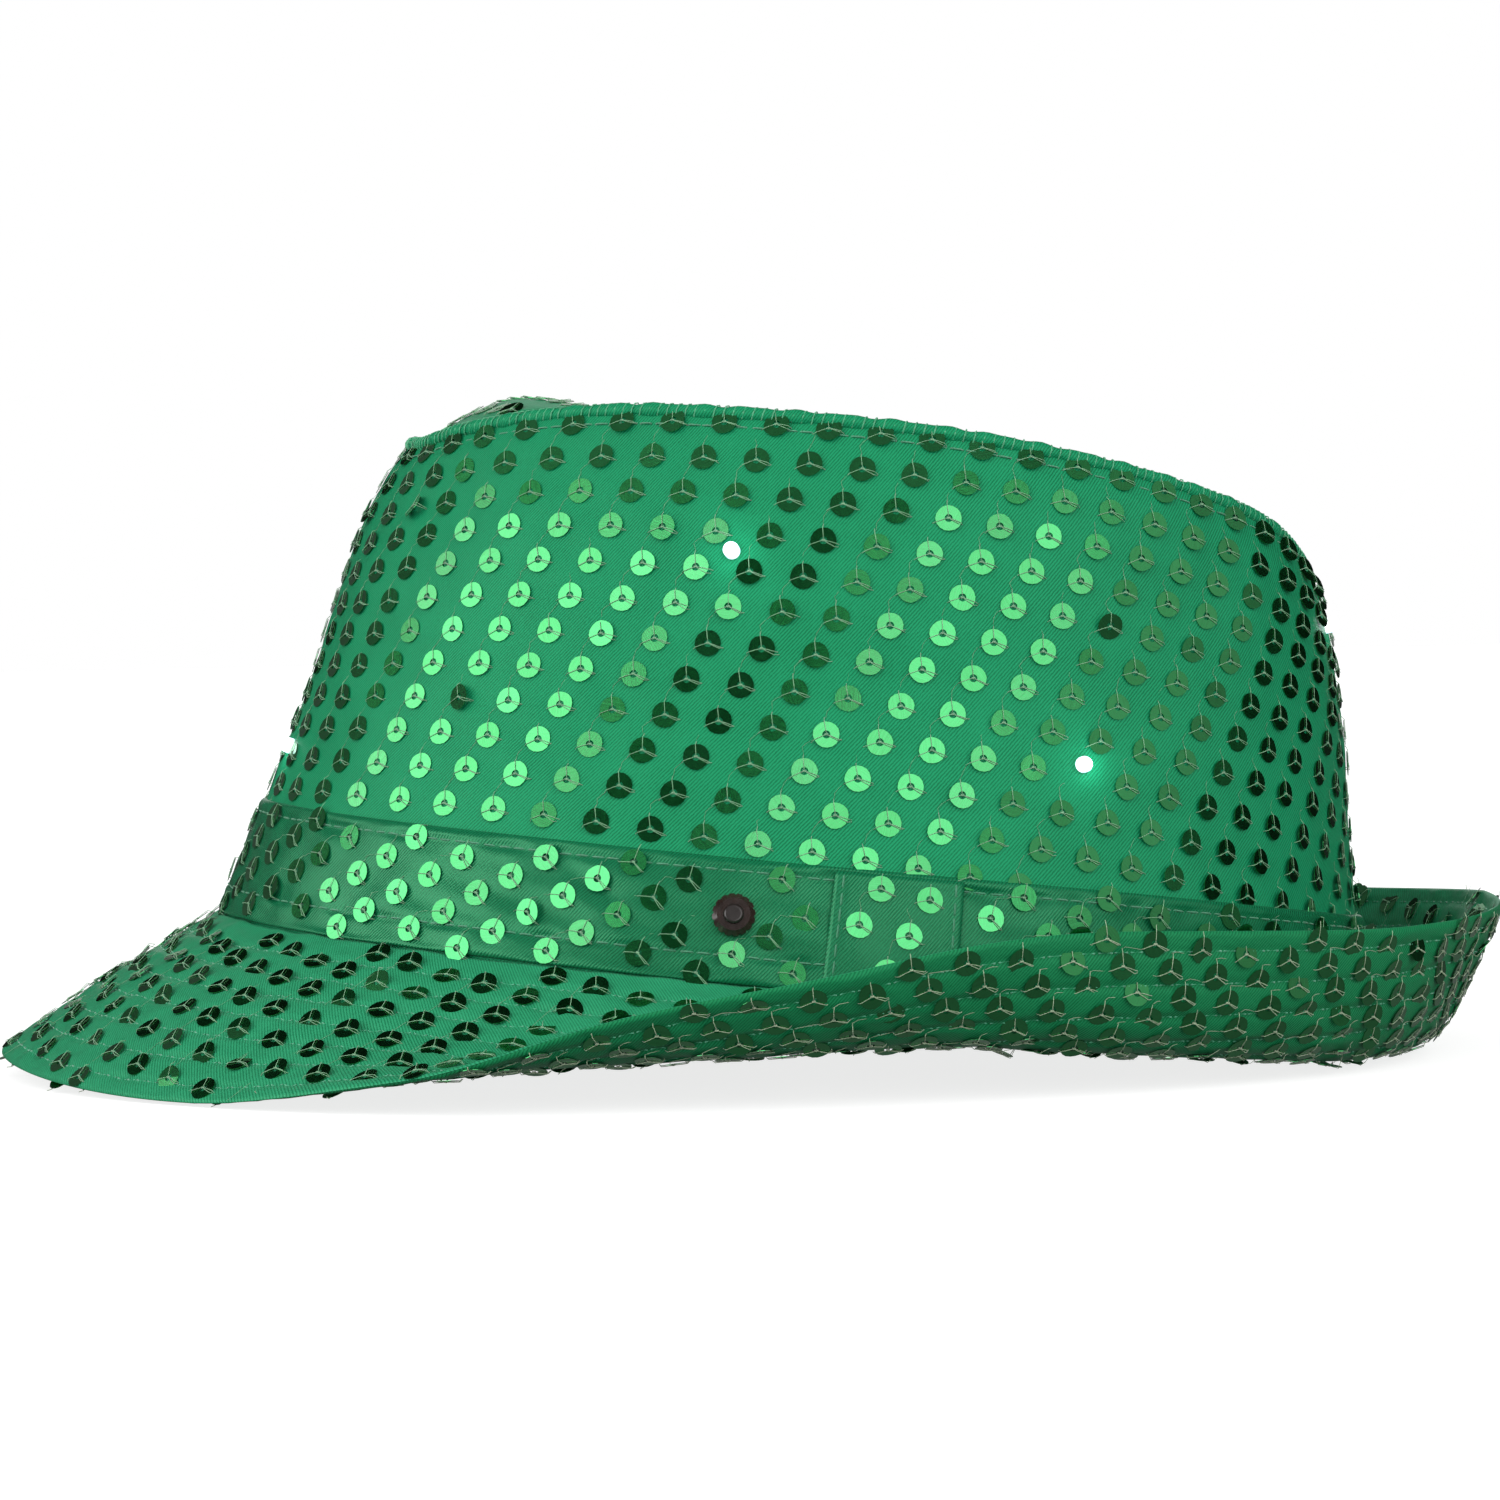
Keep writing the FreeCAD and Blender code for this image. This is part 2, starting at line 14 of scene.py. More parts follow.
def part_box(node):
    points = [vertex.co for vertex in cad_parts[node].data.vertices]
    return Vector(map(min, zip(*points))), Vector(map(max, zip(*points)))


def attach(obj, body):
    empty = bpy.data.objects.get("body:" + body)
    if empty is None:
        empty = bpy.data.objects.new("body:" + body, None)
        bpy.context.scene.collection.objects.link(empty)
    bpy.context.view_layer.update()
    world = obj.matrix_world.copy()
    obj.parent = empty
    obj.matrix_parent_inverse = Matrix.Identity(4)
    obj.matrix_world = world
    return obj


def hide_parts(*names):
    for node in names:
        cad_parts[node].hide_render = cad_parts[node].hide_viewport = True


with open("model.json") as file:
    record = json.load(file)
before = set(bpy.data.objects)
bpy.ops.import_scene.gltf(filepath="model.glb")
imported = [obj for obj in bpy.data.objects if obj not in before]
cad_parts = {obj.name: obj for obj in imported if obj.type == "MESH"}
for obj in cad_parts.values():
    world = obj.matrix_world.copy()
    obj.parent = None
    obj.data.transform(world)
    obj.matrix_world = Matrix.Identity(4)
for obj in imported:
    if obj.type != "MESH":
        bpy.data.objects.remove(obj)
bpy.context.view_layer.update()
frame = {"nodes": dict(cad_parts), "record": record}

# Crown, head opening and brim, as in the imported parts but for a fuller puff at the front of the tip
HEAD_HALF_LENGTH = 112.3
HEAD_HALF_WIDTH = 83.8
HEAD_EGG = 0.05
TOP_HALF_LENGTH = 88.4
TOP_HALF_WIDTH = 60.0
TOP_EGG = 0.10
TOP_SHIFT = 2.0
JUNCTION_RISE = ((0, 0.5), (35, 0.5), (70, 1.4), (120, 2.9), (180, 1.1))
SEAM_HEIGHT = (
    (-84, 94.6), (-76, 97.9), (-60, 101.9), (-40, 104.5), (0, 105.8),
    (30, 104.6), (60, 100.8), (78, 96.0), (90.4, 87.6),
)
SHOULDER_BULGE = ((0, 3.0), (60, 2.0), (120, 2.3), (180, 2.5))
PINCH_DEPTH = 1.8
PINCH_ANGLE = 27.0
CREASE_DEPTH = 17.0
TIP_PUFF = 9.5
TIP_PUFF_PLACE = -71.0
TIP_PUFF_LENGTH = 19.0
BRIM_WIDTH = ((0, 49.3), (90, 47.0), (180, 38.5))
SLOPE_IN = ((0, -36.0), (45, -32.4), (75, -30.7), (100, -17.0), (135, -20.0), (180, -25.8))
SLOPE_OUT = (
    (0, -39.5), (40, -43.5), (60, -7.0), (75, 41.0),
    (90, 56.0), (110, 83.0), (140, 76.0), (180, 69.0),
)
TURN_PLACE = ((0, 0.39), (60, 0.67), (90, 0.585), (120, 0.48), (180, 0.10))
TURN_LENGTH = 0.7
BRIM_START = 0.4
NOSE_UP = math.radians(7.4)
LIFT = 14.753
SHIFT = 8.700
MM = 0.001

# Fabric layers, as distances from the outer face of the crown or the middle of the brim
CROWN_IN = -0.7
BAND_OUT = 1.2
BAND_IN = 0.15
TAB_OUT = 2.15
BRIM_TOP = 0.95
BAND_BOTTOM = 1.0
BAND_HEIGHT = 22.4
BAND_HEM = 2.0
SWEATBAND_HEIGHT = 30.0
SWEATBAND_FACE = -4.5
SWEATBAND_BACK = -3.9
LINING_START = 31.5
LINING_END = 5.0
LINING_FACE = -3.6
LINING_BACK = -3.2
LINING_TIP_DROP = 4.2
LINING_TIP_INSET = 4.6
LINING_TIP_THICK = 0.4
MODULE_ANGLE = 85.0
POCKET_DEPTH = 9.85
POCKET_HALF = 18.5
POCKET_EDGE = 17.0
POCKET_START = 0.6
POCKET_RISE = 2.8
TAB_ANGLES = (89.0, 101.5)
TAB_WIDTH = 25.0
TAB_SHORT = 0.6

# Sequins, their threads and the stitching
SEQUIN_RADIUS = 2.42
SEQUIN_HOLE = 0.74
SEQUIN_THICK = 0.10
SEQUIN_STAND = 0.26
SEQUIN_SIDES = 16
ARM_RADIUS = 0.075
KNOT_RADIUS = 0.21
STITCH_RADIUS = 0.15
STITCH_LENGTH = 2.5
STITCH_GAP = 0.55
BRIM_ROWS = 7
BRIM_ROW_SPACES = BRIM_ROWS + 0.6

# Room that a light, the button's bezel and the floor need clear of discs, in metres
LED_NODES = ["led_lens_%d" % i for i in range(1, 7)]
LED_ROOM = 0.0036
BEZEL_ROOM = 0.0052
FLOOR_ROOM = 0.0020

PI = math.pi


# ---------------- shape of the hat

def smooth(t):
    t = np.clip(t, 0.0, 1.0)
    return t * t * (3.0 - 2.0 * t)


def curve(points, x):
    """Smooth curve through the points, level past its ends."""
    xs, ys = np.array(points, float).T
    low = np.maximum(np.arange(len(xs)) - 1, 0)
    high = np.minimum(np.arange(len(xs)) + 1, len(xs) - 1)
    slopes = (ys[high] - ys[low]) / (xs[high] - xs[low])
    x = np.clip(x, xs[0], xs[-1])
    i = np.clip(np.searchsorted(xs, x, "right") - 1, 0, len(xs) - 2)
    span = xs[i + 1] - xs[i]
    t = (x - xs[i]) / span
    rise = (2 * t ** 3 - 3 * t * t + 1) * ys[i] + (3 * t * t - 2 * t ** 3) * ys[i + 1]
    return rise + span * ((t ** 3 - 2 * t * t + t) * slopes[i] + (t ** 3 - t * t) * slopes[i + 1])


def fold_angle(t):
    """Degrees from the front, the same on both sides."""
    t = np.mod(t, 2 * PI)
    return np.degrees(np.minimum(t, 2 * PI - t))


def oval(half_length, half_width, egg, t):
    return half_width * np.sin(t) * (1 - egg * np.cos(t)), -half_length * np.cos(t)


def head_oval(t):
    return oval(HEAD_HALF_LENGTH, HEAD_HALF_WIDTH, HEAD_EGG, t)


def outward(t):
    step = 1e-4
    x0, y0 = head_oval(t - step)
    x1, y1 = head_oval(t + step)
    length = np.hypot(x1 - x0, y1 - y0)
    return (y1 - y0) / length, -(x1 - x0) / length


def base_point(t):
    x, y = head_oval(t)
    return x, y, curve(JUNCTION_RISE, fold_angle(t))


def seam_point(t):
    x, y = oval(TOP_HALF_LENGTH, TOP_HALF_WIDTH, TOP_EGG, t)
    y = y + TOP_SHIFT
    return x, y, curve(SEAM_HEIGHT, y)


def wall_point(t, share, offset=0.0):
    """Point of the crown wall: share 0 at the brim and 1 at the top seam."""
    low = base_point(t)
    high = seam_point(t)
    out = outward(t)
    angle = fold_angle(t)
    bulge = curve(SHOULDER_BULGE, angle) * 12.2 * share ** 4 * (1 - share)
    pinch = np.exp(-((angle - PINCH_ANGLE) / 11) ** 2 - ((share - 0.86) / 0.12) ** 2)
    reach = bulge - PINCH_DEPTH * pinch + offset
    x = low[0] + (high[0] - low[0]) * share + out[0] * reach
    y = low[1] + (high[1] - low[1]) * share + out[1] * reach
    z = low[2] + (high[2] - low[2]) * share
    return np.stack(np.broadcast_arrays(x, y, z), -1)


def wall_rise(t):
    return seam_point(t)[2] - base_point(t)[2]


def tip_height(x, y):
    radius = np.hypot(x / TOP_HALF_WIDTH, (y - TOP_SHIFT) / TOP_HALF_LENGTH)
    along = smooth((y + 74) / 45) * smooth((74 - y) / 55)
    half_width = 20 + 0.05 * y
    inside = np.maximum(0.0, 1 - radius ** 4)
    crease = CREASE_DEPTH * along * np.exp(-(x / half_width) ** 2) * inside
    puff = TIP_PUFF * np.exp(-((y - TIP_PUFF_PLACE) / TIP_PUFF_LENGTH) ** 2) * inside
    return curve(SEAM_HEIGHT, y) - crease + puff


def brim_grid(ts, steps, offset):
    """Grid of brim points from the crown to the edge; offset may vary over the grid."""
    angle = fold_angle(ts)
    start, end, place = (curve(law, angle) for law in (SLOPE_IN, SLOPE_OUT, TURN_PLACE))
    width = curve(BRIM_WIDTH, angle)
    x, y, z = base_point(ts)
    out = outward(ts)

    def slope_at(share):
        turn = smooth((share - place + TURN_LENGTH / 2) / TURN_LENGTH)
        return np.radians(start + (end - start) * turn)

    reach = np.full_like(ts, BRIM_START)
    rise = np.zeros_like(ts)
    rows = []
    for i in range(steps + 1):
        slope = slope_at(i / steps)
        side = offset[:, i]
        level = reach - side * np.sin(slope)
        rows.append(np.stack([x + out[0] * level, y + out[1] * level,
                              z + rise + side * np.cos(slope)], -1))
        slope = slope_at((i + 0.5) / steps)
        reach = reach + width / steps * np.cos(slope)
        rise = rise + width / steps * np.sin(slope)
    return np.stack(rows, 1)


def rest(points):
    """Head frame in millimetres to the standing hat in metres."""
    x, y, z = np.moveaxis(np.asarray(points, float), -1, 0)
    c, s = math.cos(NOSE_UP), math.sin(NOSE_UP)
    return np.stack([x, y * c + z * s + SHIFT, z * c - y * s + LIFT], -1) * MM


def ripple(points, length, seed, depth):
    """Soft, repeatable unevenness of cloth, from a few waves that cross."""
    draw = np.random.default_rng(seed)
    total = np.zeros(points.shape[:-1])
    for i in range(9):
        way = draw.normal(size=3)
        way *= 2 * PI / (length * draw.uniform(0.6, 1.8)) / np.linalg.norm(way)
        total += np.sin(points @ way + draw.uniform(0, 2 * PI))
    return total * depth / 3.0


# ---------------- mesh helpers

def new_piece(name, verts, faces, material, smooth_faces=True):
    mesh = bpy.data.meshes.new(name)
    mesh.from_pydata(np.reshape(verts, (-1, 3)).tolist(), [], faces)
    mesh.materials.append(material)
    if smooth_faces:
        mesh.polygons.foreach_set("use_smooth", np.ones(len(mesh.polygons), bool))
    mesh.update()
    piece = bpy.data.objects.new(name, mesh)
    bpy.context.scene.collection.objects.link(piece)
    return piece


def set_uv(piece, uv):
    layer = piece.data.uv_layers.new(name="flat")
    layer.data.foreach_set("uv", np.asarray(uv, np.float32).ravel())


def quads(columns, rows, wrap):
    """Corners of the quads of a grid, as (column, row) pairs."""
    i, j = np.meshgrid(np.arange(columns if wrap else columns - 1), np.arange(rows - 1), indexing="ij")
    i, j = i.ravel(), j.ravel()
    corners = ((i, j), (i + 1, j), (i + 1, j + 1), (i, j + 1))
    return np.stack([np.stack(corner, -1) for corner in corners], 1)


def shell(name, outer, inner, flat, material, wrap=True):
    """Closed thin piece between two grids of points; flat holds its cut cloth's coordinates in mm."""
    columns, rows = outer.shape[:2]
    corner = quads(columns, rows, wrap)
    index = (corner[..., 0] % columns) * rows + corner[..., 1]
    count = columns * rows
    faces = [index, index[:, ::-1] + count]
    uv_corner = [corner, corner[:, ::-1]]
    i, j = np.arange(columns if wrap else columns - 1), np.arange(rows - 1)
    borders = [((i, i * 0 + row), (i + 1, i * 0 + row), row > 0) for row in (0, rows - 1)]
    if not wrap:
        borders += [((j * 0 + end, j), (j * 0 + end, j + 1), end == 0) for end in (0, columns - 1)]
    for near, far, flip in borders:
        a, b = ((i % columns) * rows + j for i, j in (near, far))
        rim = np.stack([a, a + count, b + count, b], -1)
        near, far = np.stack(near, -1), np.stack(far, -1)
        pairs = np.stack([near, near, far, far], 1)
        faces.append(rim[:, ::-1] if flip else rim)
        uv_corner.append(pairs[:, ::-1] if flip else pairs)
    verts = np.concatenate([rest(outer).reshape(-1, 3), rest(inner).reshape(-1, 3)])
    piece = new_piece(name, verts, np.concatenate(faces).tolist(), material)
    corner = np.concatenate(uv_corner)
    set_uv(piece, flat[corner[..., 0], corner[..., 1]])
    return piece


def cloth(piece, nodes, flat):
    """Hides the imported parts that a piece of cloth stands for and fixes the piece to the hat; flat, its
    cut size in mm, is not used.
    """
    flat = (flat[0] * MM, flat[1] * MM)
    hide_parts(*nodes)
    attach(piece, "hat")


def unit(v):
    return v / np.maximum(np.linalg.norm(v, axis=-1, keepdims=True), 1e-9)


def normals_of(grid, wrap=True):
    du = np.roll(grid, -1, 0) - np.roll(grid, 1, 0) if wrap else np.gradient(grid, axis=0)
    return unit(np.cross(du, np.gradient(grid, axis=1)))


def look_up(grid, u, v, wrap=True):
    """Point of a grid between its lines; u and v count columns and rows."""
    columns, rows = grid.shape[:2]
    v = np.clip(v, 0, rows - 1.001)
    if not wrap:
        u = np.clip(u, 0, columns - 1.001)
    i, j = np.floor(u).astype(int), np.floor(v).astype(int)
    a, b = (u - i)[..., None], (v - j)[..., None]
    i0, i1 = i % columns, (i + 1) % columns
    return ((grid[i0, j] * (1 - a) + grid[i1, j] * a) * (1 - b)
            + (grid[i0, j + 1] * (1 - a) + grid[i1, j + 1] * a) * b)


def tubes(name, paths, ups, radius, material, sides=4):
    """Thread: one thin tube along each path of (paths, points, 3), all of one length in points."""
    count, length = paths.shape[:2]
    along = unit(np.gradient(paths, axis=1))
    across = unit(np.cross(along, np.broadcast_to(ups, paths.shape)))
    lift = np.cross(across, along)
    k = np.arange(sides)
    turn = (2 * PI * k / sides)[:, None]
    ring = (across[:, :, None] * np.cos(turn) + lift[:, :, None] * np.sin(turn)) * radius
    verts = rest((paths[:, :, None] + ring).reshape(-1, 3))
    low, following = np.arange(length - 1)[:, None] * sides, (k + 1) % sides
    quad = np.stack([low + k, low + following, low + sides + following, low + sides + k], -1).reshape(-1, 4)
    cap = np.stack([k[::-1], k + (length - 1) * sides])
    starts = (np.arange(count) * length * sides)[:, None, None]
    faces = (quad[None] + starts).reshape(-1, 4).tolist() + (cap[None] + starts).reshape(-1, sides).tolist()
    return new_piece(name, verts, faces, material)


# ---------------- materials

class Look:
    """Node tree of a material or of the world."""

    def __init__(self, tree):
        self.tree = tree

    def fill(self, node, *ordered, **named):
        """Sets a node. Named values are its settings or inputs, ordered ones its inputs by number.

        A value that is the output of another node is linked to the input.
        """
        for key, value in [*named.items(), *enumerate(ordered)]:
            if isinstance(key, str):
                if hasattr(node, key):
                    setattr(node, key, value)
                    continue
                key = key.replace("_", " ")
            if isinstance(value, bpy.types.NodeSocket):
                self.tree.links.new(value, node.inputs[key])
            else:
                node.inputs[key].default_value = value
        return node

    def add(self, kind, *ordered, **named):
        return self.fill(self.tree.nodes.new("ShaderNode" + kind), *ordered, **named)

    def math(self, operation, *values):
        return self.add("Math", *values, operation=operation).outputs[0]

    def mapping(self, place, **how):
        return self.add("Mapping", Vector=place, **how).outputs["Vector"]

    def noise(self, place, scale, detail=2.0):
        return self.add("TexNoise", Vector=place, Scale=scale, Detail=detail).outputs["Fac"]

    def span(self, value, **ends):
        return self.add("MapRange", Value=value, **ends).outputs["Result"]

    def ramp(self, value, dark, light, low=0.0, high=1.0):
        node = self.add("ValToRGB", value)
        for end, place, colour in zip(node.color_ramp.elements, (low, high), (dark, light)):
            end.position = place
            end.color = (*colour, 1)
        return node.outputs["Color"]


class Surface(Look):
    """Material with one shader, whose pattern lies on the cut cloth or fills the part."""

    def __init__(self, name):
        self.material = bpy.data.materials.new(name)
        self.material.use_nodes = True
        super().__init__(self.material.node_tree)

    def cloth_place(self):
        return self.add("UVMap", uv_map="flat").outputs["UV"]

    def part_place(self):
        return self.add("TexCoord").outputs["Object"]

    def finish(self, height, strength, distance, **shader):
        bump = self.add("Bump", Height=height, Strength=strength, Distance=distance)
        self.fill(self.tree.nodes["Principled BSDF"], Normal=bump.outputs["Normal"], **shader)
        return self.material


def satin(name, light, dark, roughness=0.38, gloss=0.35, sheen=0.04, seed=0.0):
    """Twill-faced satin: fine diagonal ribs, streaks along the yarn and soft patches of tone."""
    look = Surface(name)
    place = look.cloth_place()
    turned = look.mapping(place, Rotation=(0, 0, math.radians(38)))
    ribs = look.add("TexWave", wave_type="BANDS", bands_direction="X", Vector=turned, Scale=0.60,
                    Distortion=1.6, Detail=2.0, Detail_Scale=2.5).outputs["Fac"]
    stretched = look.mapping(turned, Scale=(0.5, 4.0, 1.0), Location=(seed, seed * 0.7, seed))
    yarn = look.noise(stretched, 1.1, 4.0)
    patch = look.noise(place, 0.09, 3.0)
    tone = look.math("MULTIPLY_ADD", yarn, 0.55, look.math("MULTIPLY", patch, 0.40))
    tone = look.math("MULTIPLY_ADD", ribs, 0.75, tone)
    return look.finish(
        look.math("MULTIPLY_ADD", ribs, 0.8, yarn), 0.7, 0.00006,
        Base_Color=look.ramp(tone, dark, light, 0.44), Roughness=roughness, Specular_IOR_Level=gloss,
        Specular_Tint=(0.26, 1.0, 0.50, 1), Sheen_Weight=sheen, Sheen_Roughness=0.35,
        Sheen_Tint=(0.5, 0.95, 0.7, 1))


def sequin_film():
    """Green foil under clear film, with fine scratches; the tone of each disc comes with its mesh."""
    look = Surface("sequin_film")
    scratches = look.noise(look.mapping(look.cloth_place(), Scale=(0.25, 7.0, 1.0)), 1.2, 4.0)
    tone = look.add("Attribute", attribute_name="tone").outputs["Fac"]
    tone = look.math("MULTIPLY_ADD", scratches, 1.1, look.math("MULTIPLY_ADD", tone, 0.35, -0.22))
    return look.finish(
        scratches, 0.12, 0.0001,
        Base_Color=look.ramp(tone, (0.012, 0.27, 0.055), (0.044, 0.43, 0.125), 0.12, 0.70),
        Roughness=look.span(scratches, To_Min=0.12, To_Max=0.24), Metallic=1.0,
        Coat_Weight=0.6, Coat_IOR=1.7, Coat_Roughness=0.06)


def thread(name, colour, alpha=1.0):
    """Twisted thread: shaded plies along its length."""
    look = Surface(name)
    twist = look.noise(look.part_place(), 1800.0)
    return look.finish(
        twist, 0.4, 0.00005, Base_Color=look.ramp(twist, [c * 0.65 for c in colour], colour, 0.3, 0.7),
        Roughness=0.45, Sheen_Weight=0.3, Alpha=alpha)


def moulded(name, colour, roughness=0.35, grain=900.0, metallic=0.0, coat=0.0):
    """Moulded or pressed surface with a fine grain in its gloss and a little unevenness."""
    look = Surface(name)
    noise = look.noise(look.part_place(), grain, 4.0)
    return look.finish(
        noise, 0.15, 0.00005,
        Base_Color=look.ramp(noise, [c * 0.75 for c in colour], [min(1.0, c * 1.25) for c in colour]),
        Roughness=look.span(noise, To_Min=max(0.05, roughness - 0.1), To_Max=roughness + 0.1),
        Metallic=metallic, Coat_Weight=coat)


def smoky_plastic():
    """Dark see-through plastic of the button's bezel."""
    look = Surface("smoky_plastic")
    noise = look.noise(look.part_place(), 600.0)
    return look.finish(
        noise, 0.2, 0.0001, Base_Color=look.ramp(noise, (0.010, 0.006, 0.005), (0.040, 0.022, 0.018)),
        Roughness=0.18, Transmission_Weight=0.25, Coat_Weight=0.5)


def lit_epoxy():
    """Clear LED lens with its light on: white at the middle and bluish at its rim."""
    look = Surface("lit_epoxy")
    facing = look.add("LayerWeight", Blend=0.35).outputs["Facing"]
    return look.finish(
        look.noise(look.part_place(), 900.0), 0.1, 0.0001, Base_Color=(0.8, 0.92, 1.0, 1), Roughness=0.08,
        Emission_Color=look.ramp(facing, (1.0, 1.0, 1.0), (0.35, 0.62, 0.80), 0.15, 0.85),
        Emission_Strength=1.6)


SATIN = satin("satin_crown", (0.007, 0.215, 0.092), (0.002, 0.105, 0.040))
# Band and its tab: a darker base colour than the crown's satin, in part painted shade for the band's dim
# stretch between its gloss highlights
SATIN_BAND_PAINTED_SHADE = satin("satin_band", (0.005, 0.125, 0.052), (0.0015, 0.060, 0.022), 0.22, 0.95, seed=3.0)
# Top of the brim: a paler base colour than the crown's satin, a painted highlight for the pale streaks of
# sheen at the brim's front
SATIN_BRIM_PAINTED_HIGHLIGHT = satin("satin_brim", (0.022, 0.240, 0.112), (0.006, 0.130, 0.054), gloss=0.45, seed=7.0)
# Underside of the brim: the same satin as its top, with a darker base colour that is painted shade for the
# light it lacks from below
SATIN_UNDER_PAINTED_SHADE = satin("satin_brim_under", (0.010, 0.165, 0.062), (0.003, 0.092, 0.031), gloss=0.2,
                    seed=11.0)
LINING = satin("lining_cloth", (0.020, 0.150, 0.075), (0.008, 0.080, 0.040), 0.7, sheen=0.1, seed=5.0)
TAPE = satin("sweatband_tape", (0.030, 0.210, 0.105), (0.012, 0.120, 0.058), 0.6, sheen=0.15, seed=9.0)
FILM = sequin_film()
SEQUIN_THREAD = thread("sequin_thread", (0.24, 0.50, 0.28), alpha=0.60)
UNDER_THREAD = thread("brim_under_thread", (0.38, 0.50, 0.32), alpha=0.75)
STITCH_THREAD = thread("stitch_thread", (0.030, 0.24, 0.12))
BRIM_THREAD = thread("brim_thread", (0.060, 0.34, 0.19))
SEAM_THREAD = thread("seam_thread", (0.05, 0.36, 0.17))


# ---------------- sequins and threads

def disc_template():
    """One flat sequin, closed, with its punched hole: vertices in its own plane and its quads."""
    k = np.arange(SEQUIN_SIDES)
    turn = 2 * PI * k / SEQUIN_SIDES
    rings = [
        np.stack([radius * np.cos(turn), radius * np.sin(turn), np.full(SEQUIN_SIDES, level)], -1)
        for radius, level in ((SEQUIN_HOLE, 0.0), (SEQUIN_RADIUS, 0.0),
                              (SEQUIN_RADIUS, -SEQUIN_THICK), (SEQUIN_HOLE, -SEQUIN_THICK))]
    after = (k + 1) % SEQUIN_SIDES
    faces = []
    for ring in range(4):
        a, b = ring * SEQUIN_SIDES, (ring + 1) % 4 * SEQUIN_SIDES
        faces.append(np.stack([a + k, b + k, b + after, a + after], -1))
    return np.concatenate(rings), np.concatenate(faces)


def lattice(origin, across, along, firsts, lines):
    """Flat places of the discs: rows step by across, and a thread line steps by along."""
    i, j = np.meshgrid(np.arange(*firsts), np.arange(*lines), indexing="ij")
    places = np.array(origin) + i[..., None] * np.array(across) + j[..., None] * np.array(along)
    return places.reshape(-1, 2)


def middle_of(node):
    return np.mean(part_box(node), axis=0)


def clear_of_parts(points):
    """False where a light, the button's bezel or the floor leaves no room for a disc."""
    free = np.ones(len(points), bool)
    places = rest(points)
    for node, room in [(node, LED_ROOM) for node in LED_NODES] + [("switch_bezel", BEZEL_ROOM)]:
        free &= np.linalg.norm(places - middle_of(node), axis=-1) > room
    return free & (places[:, 2] > FLOOR_ROOM)


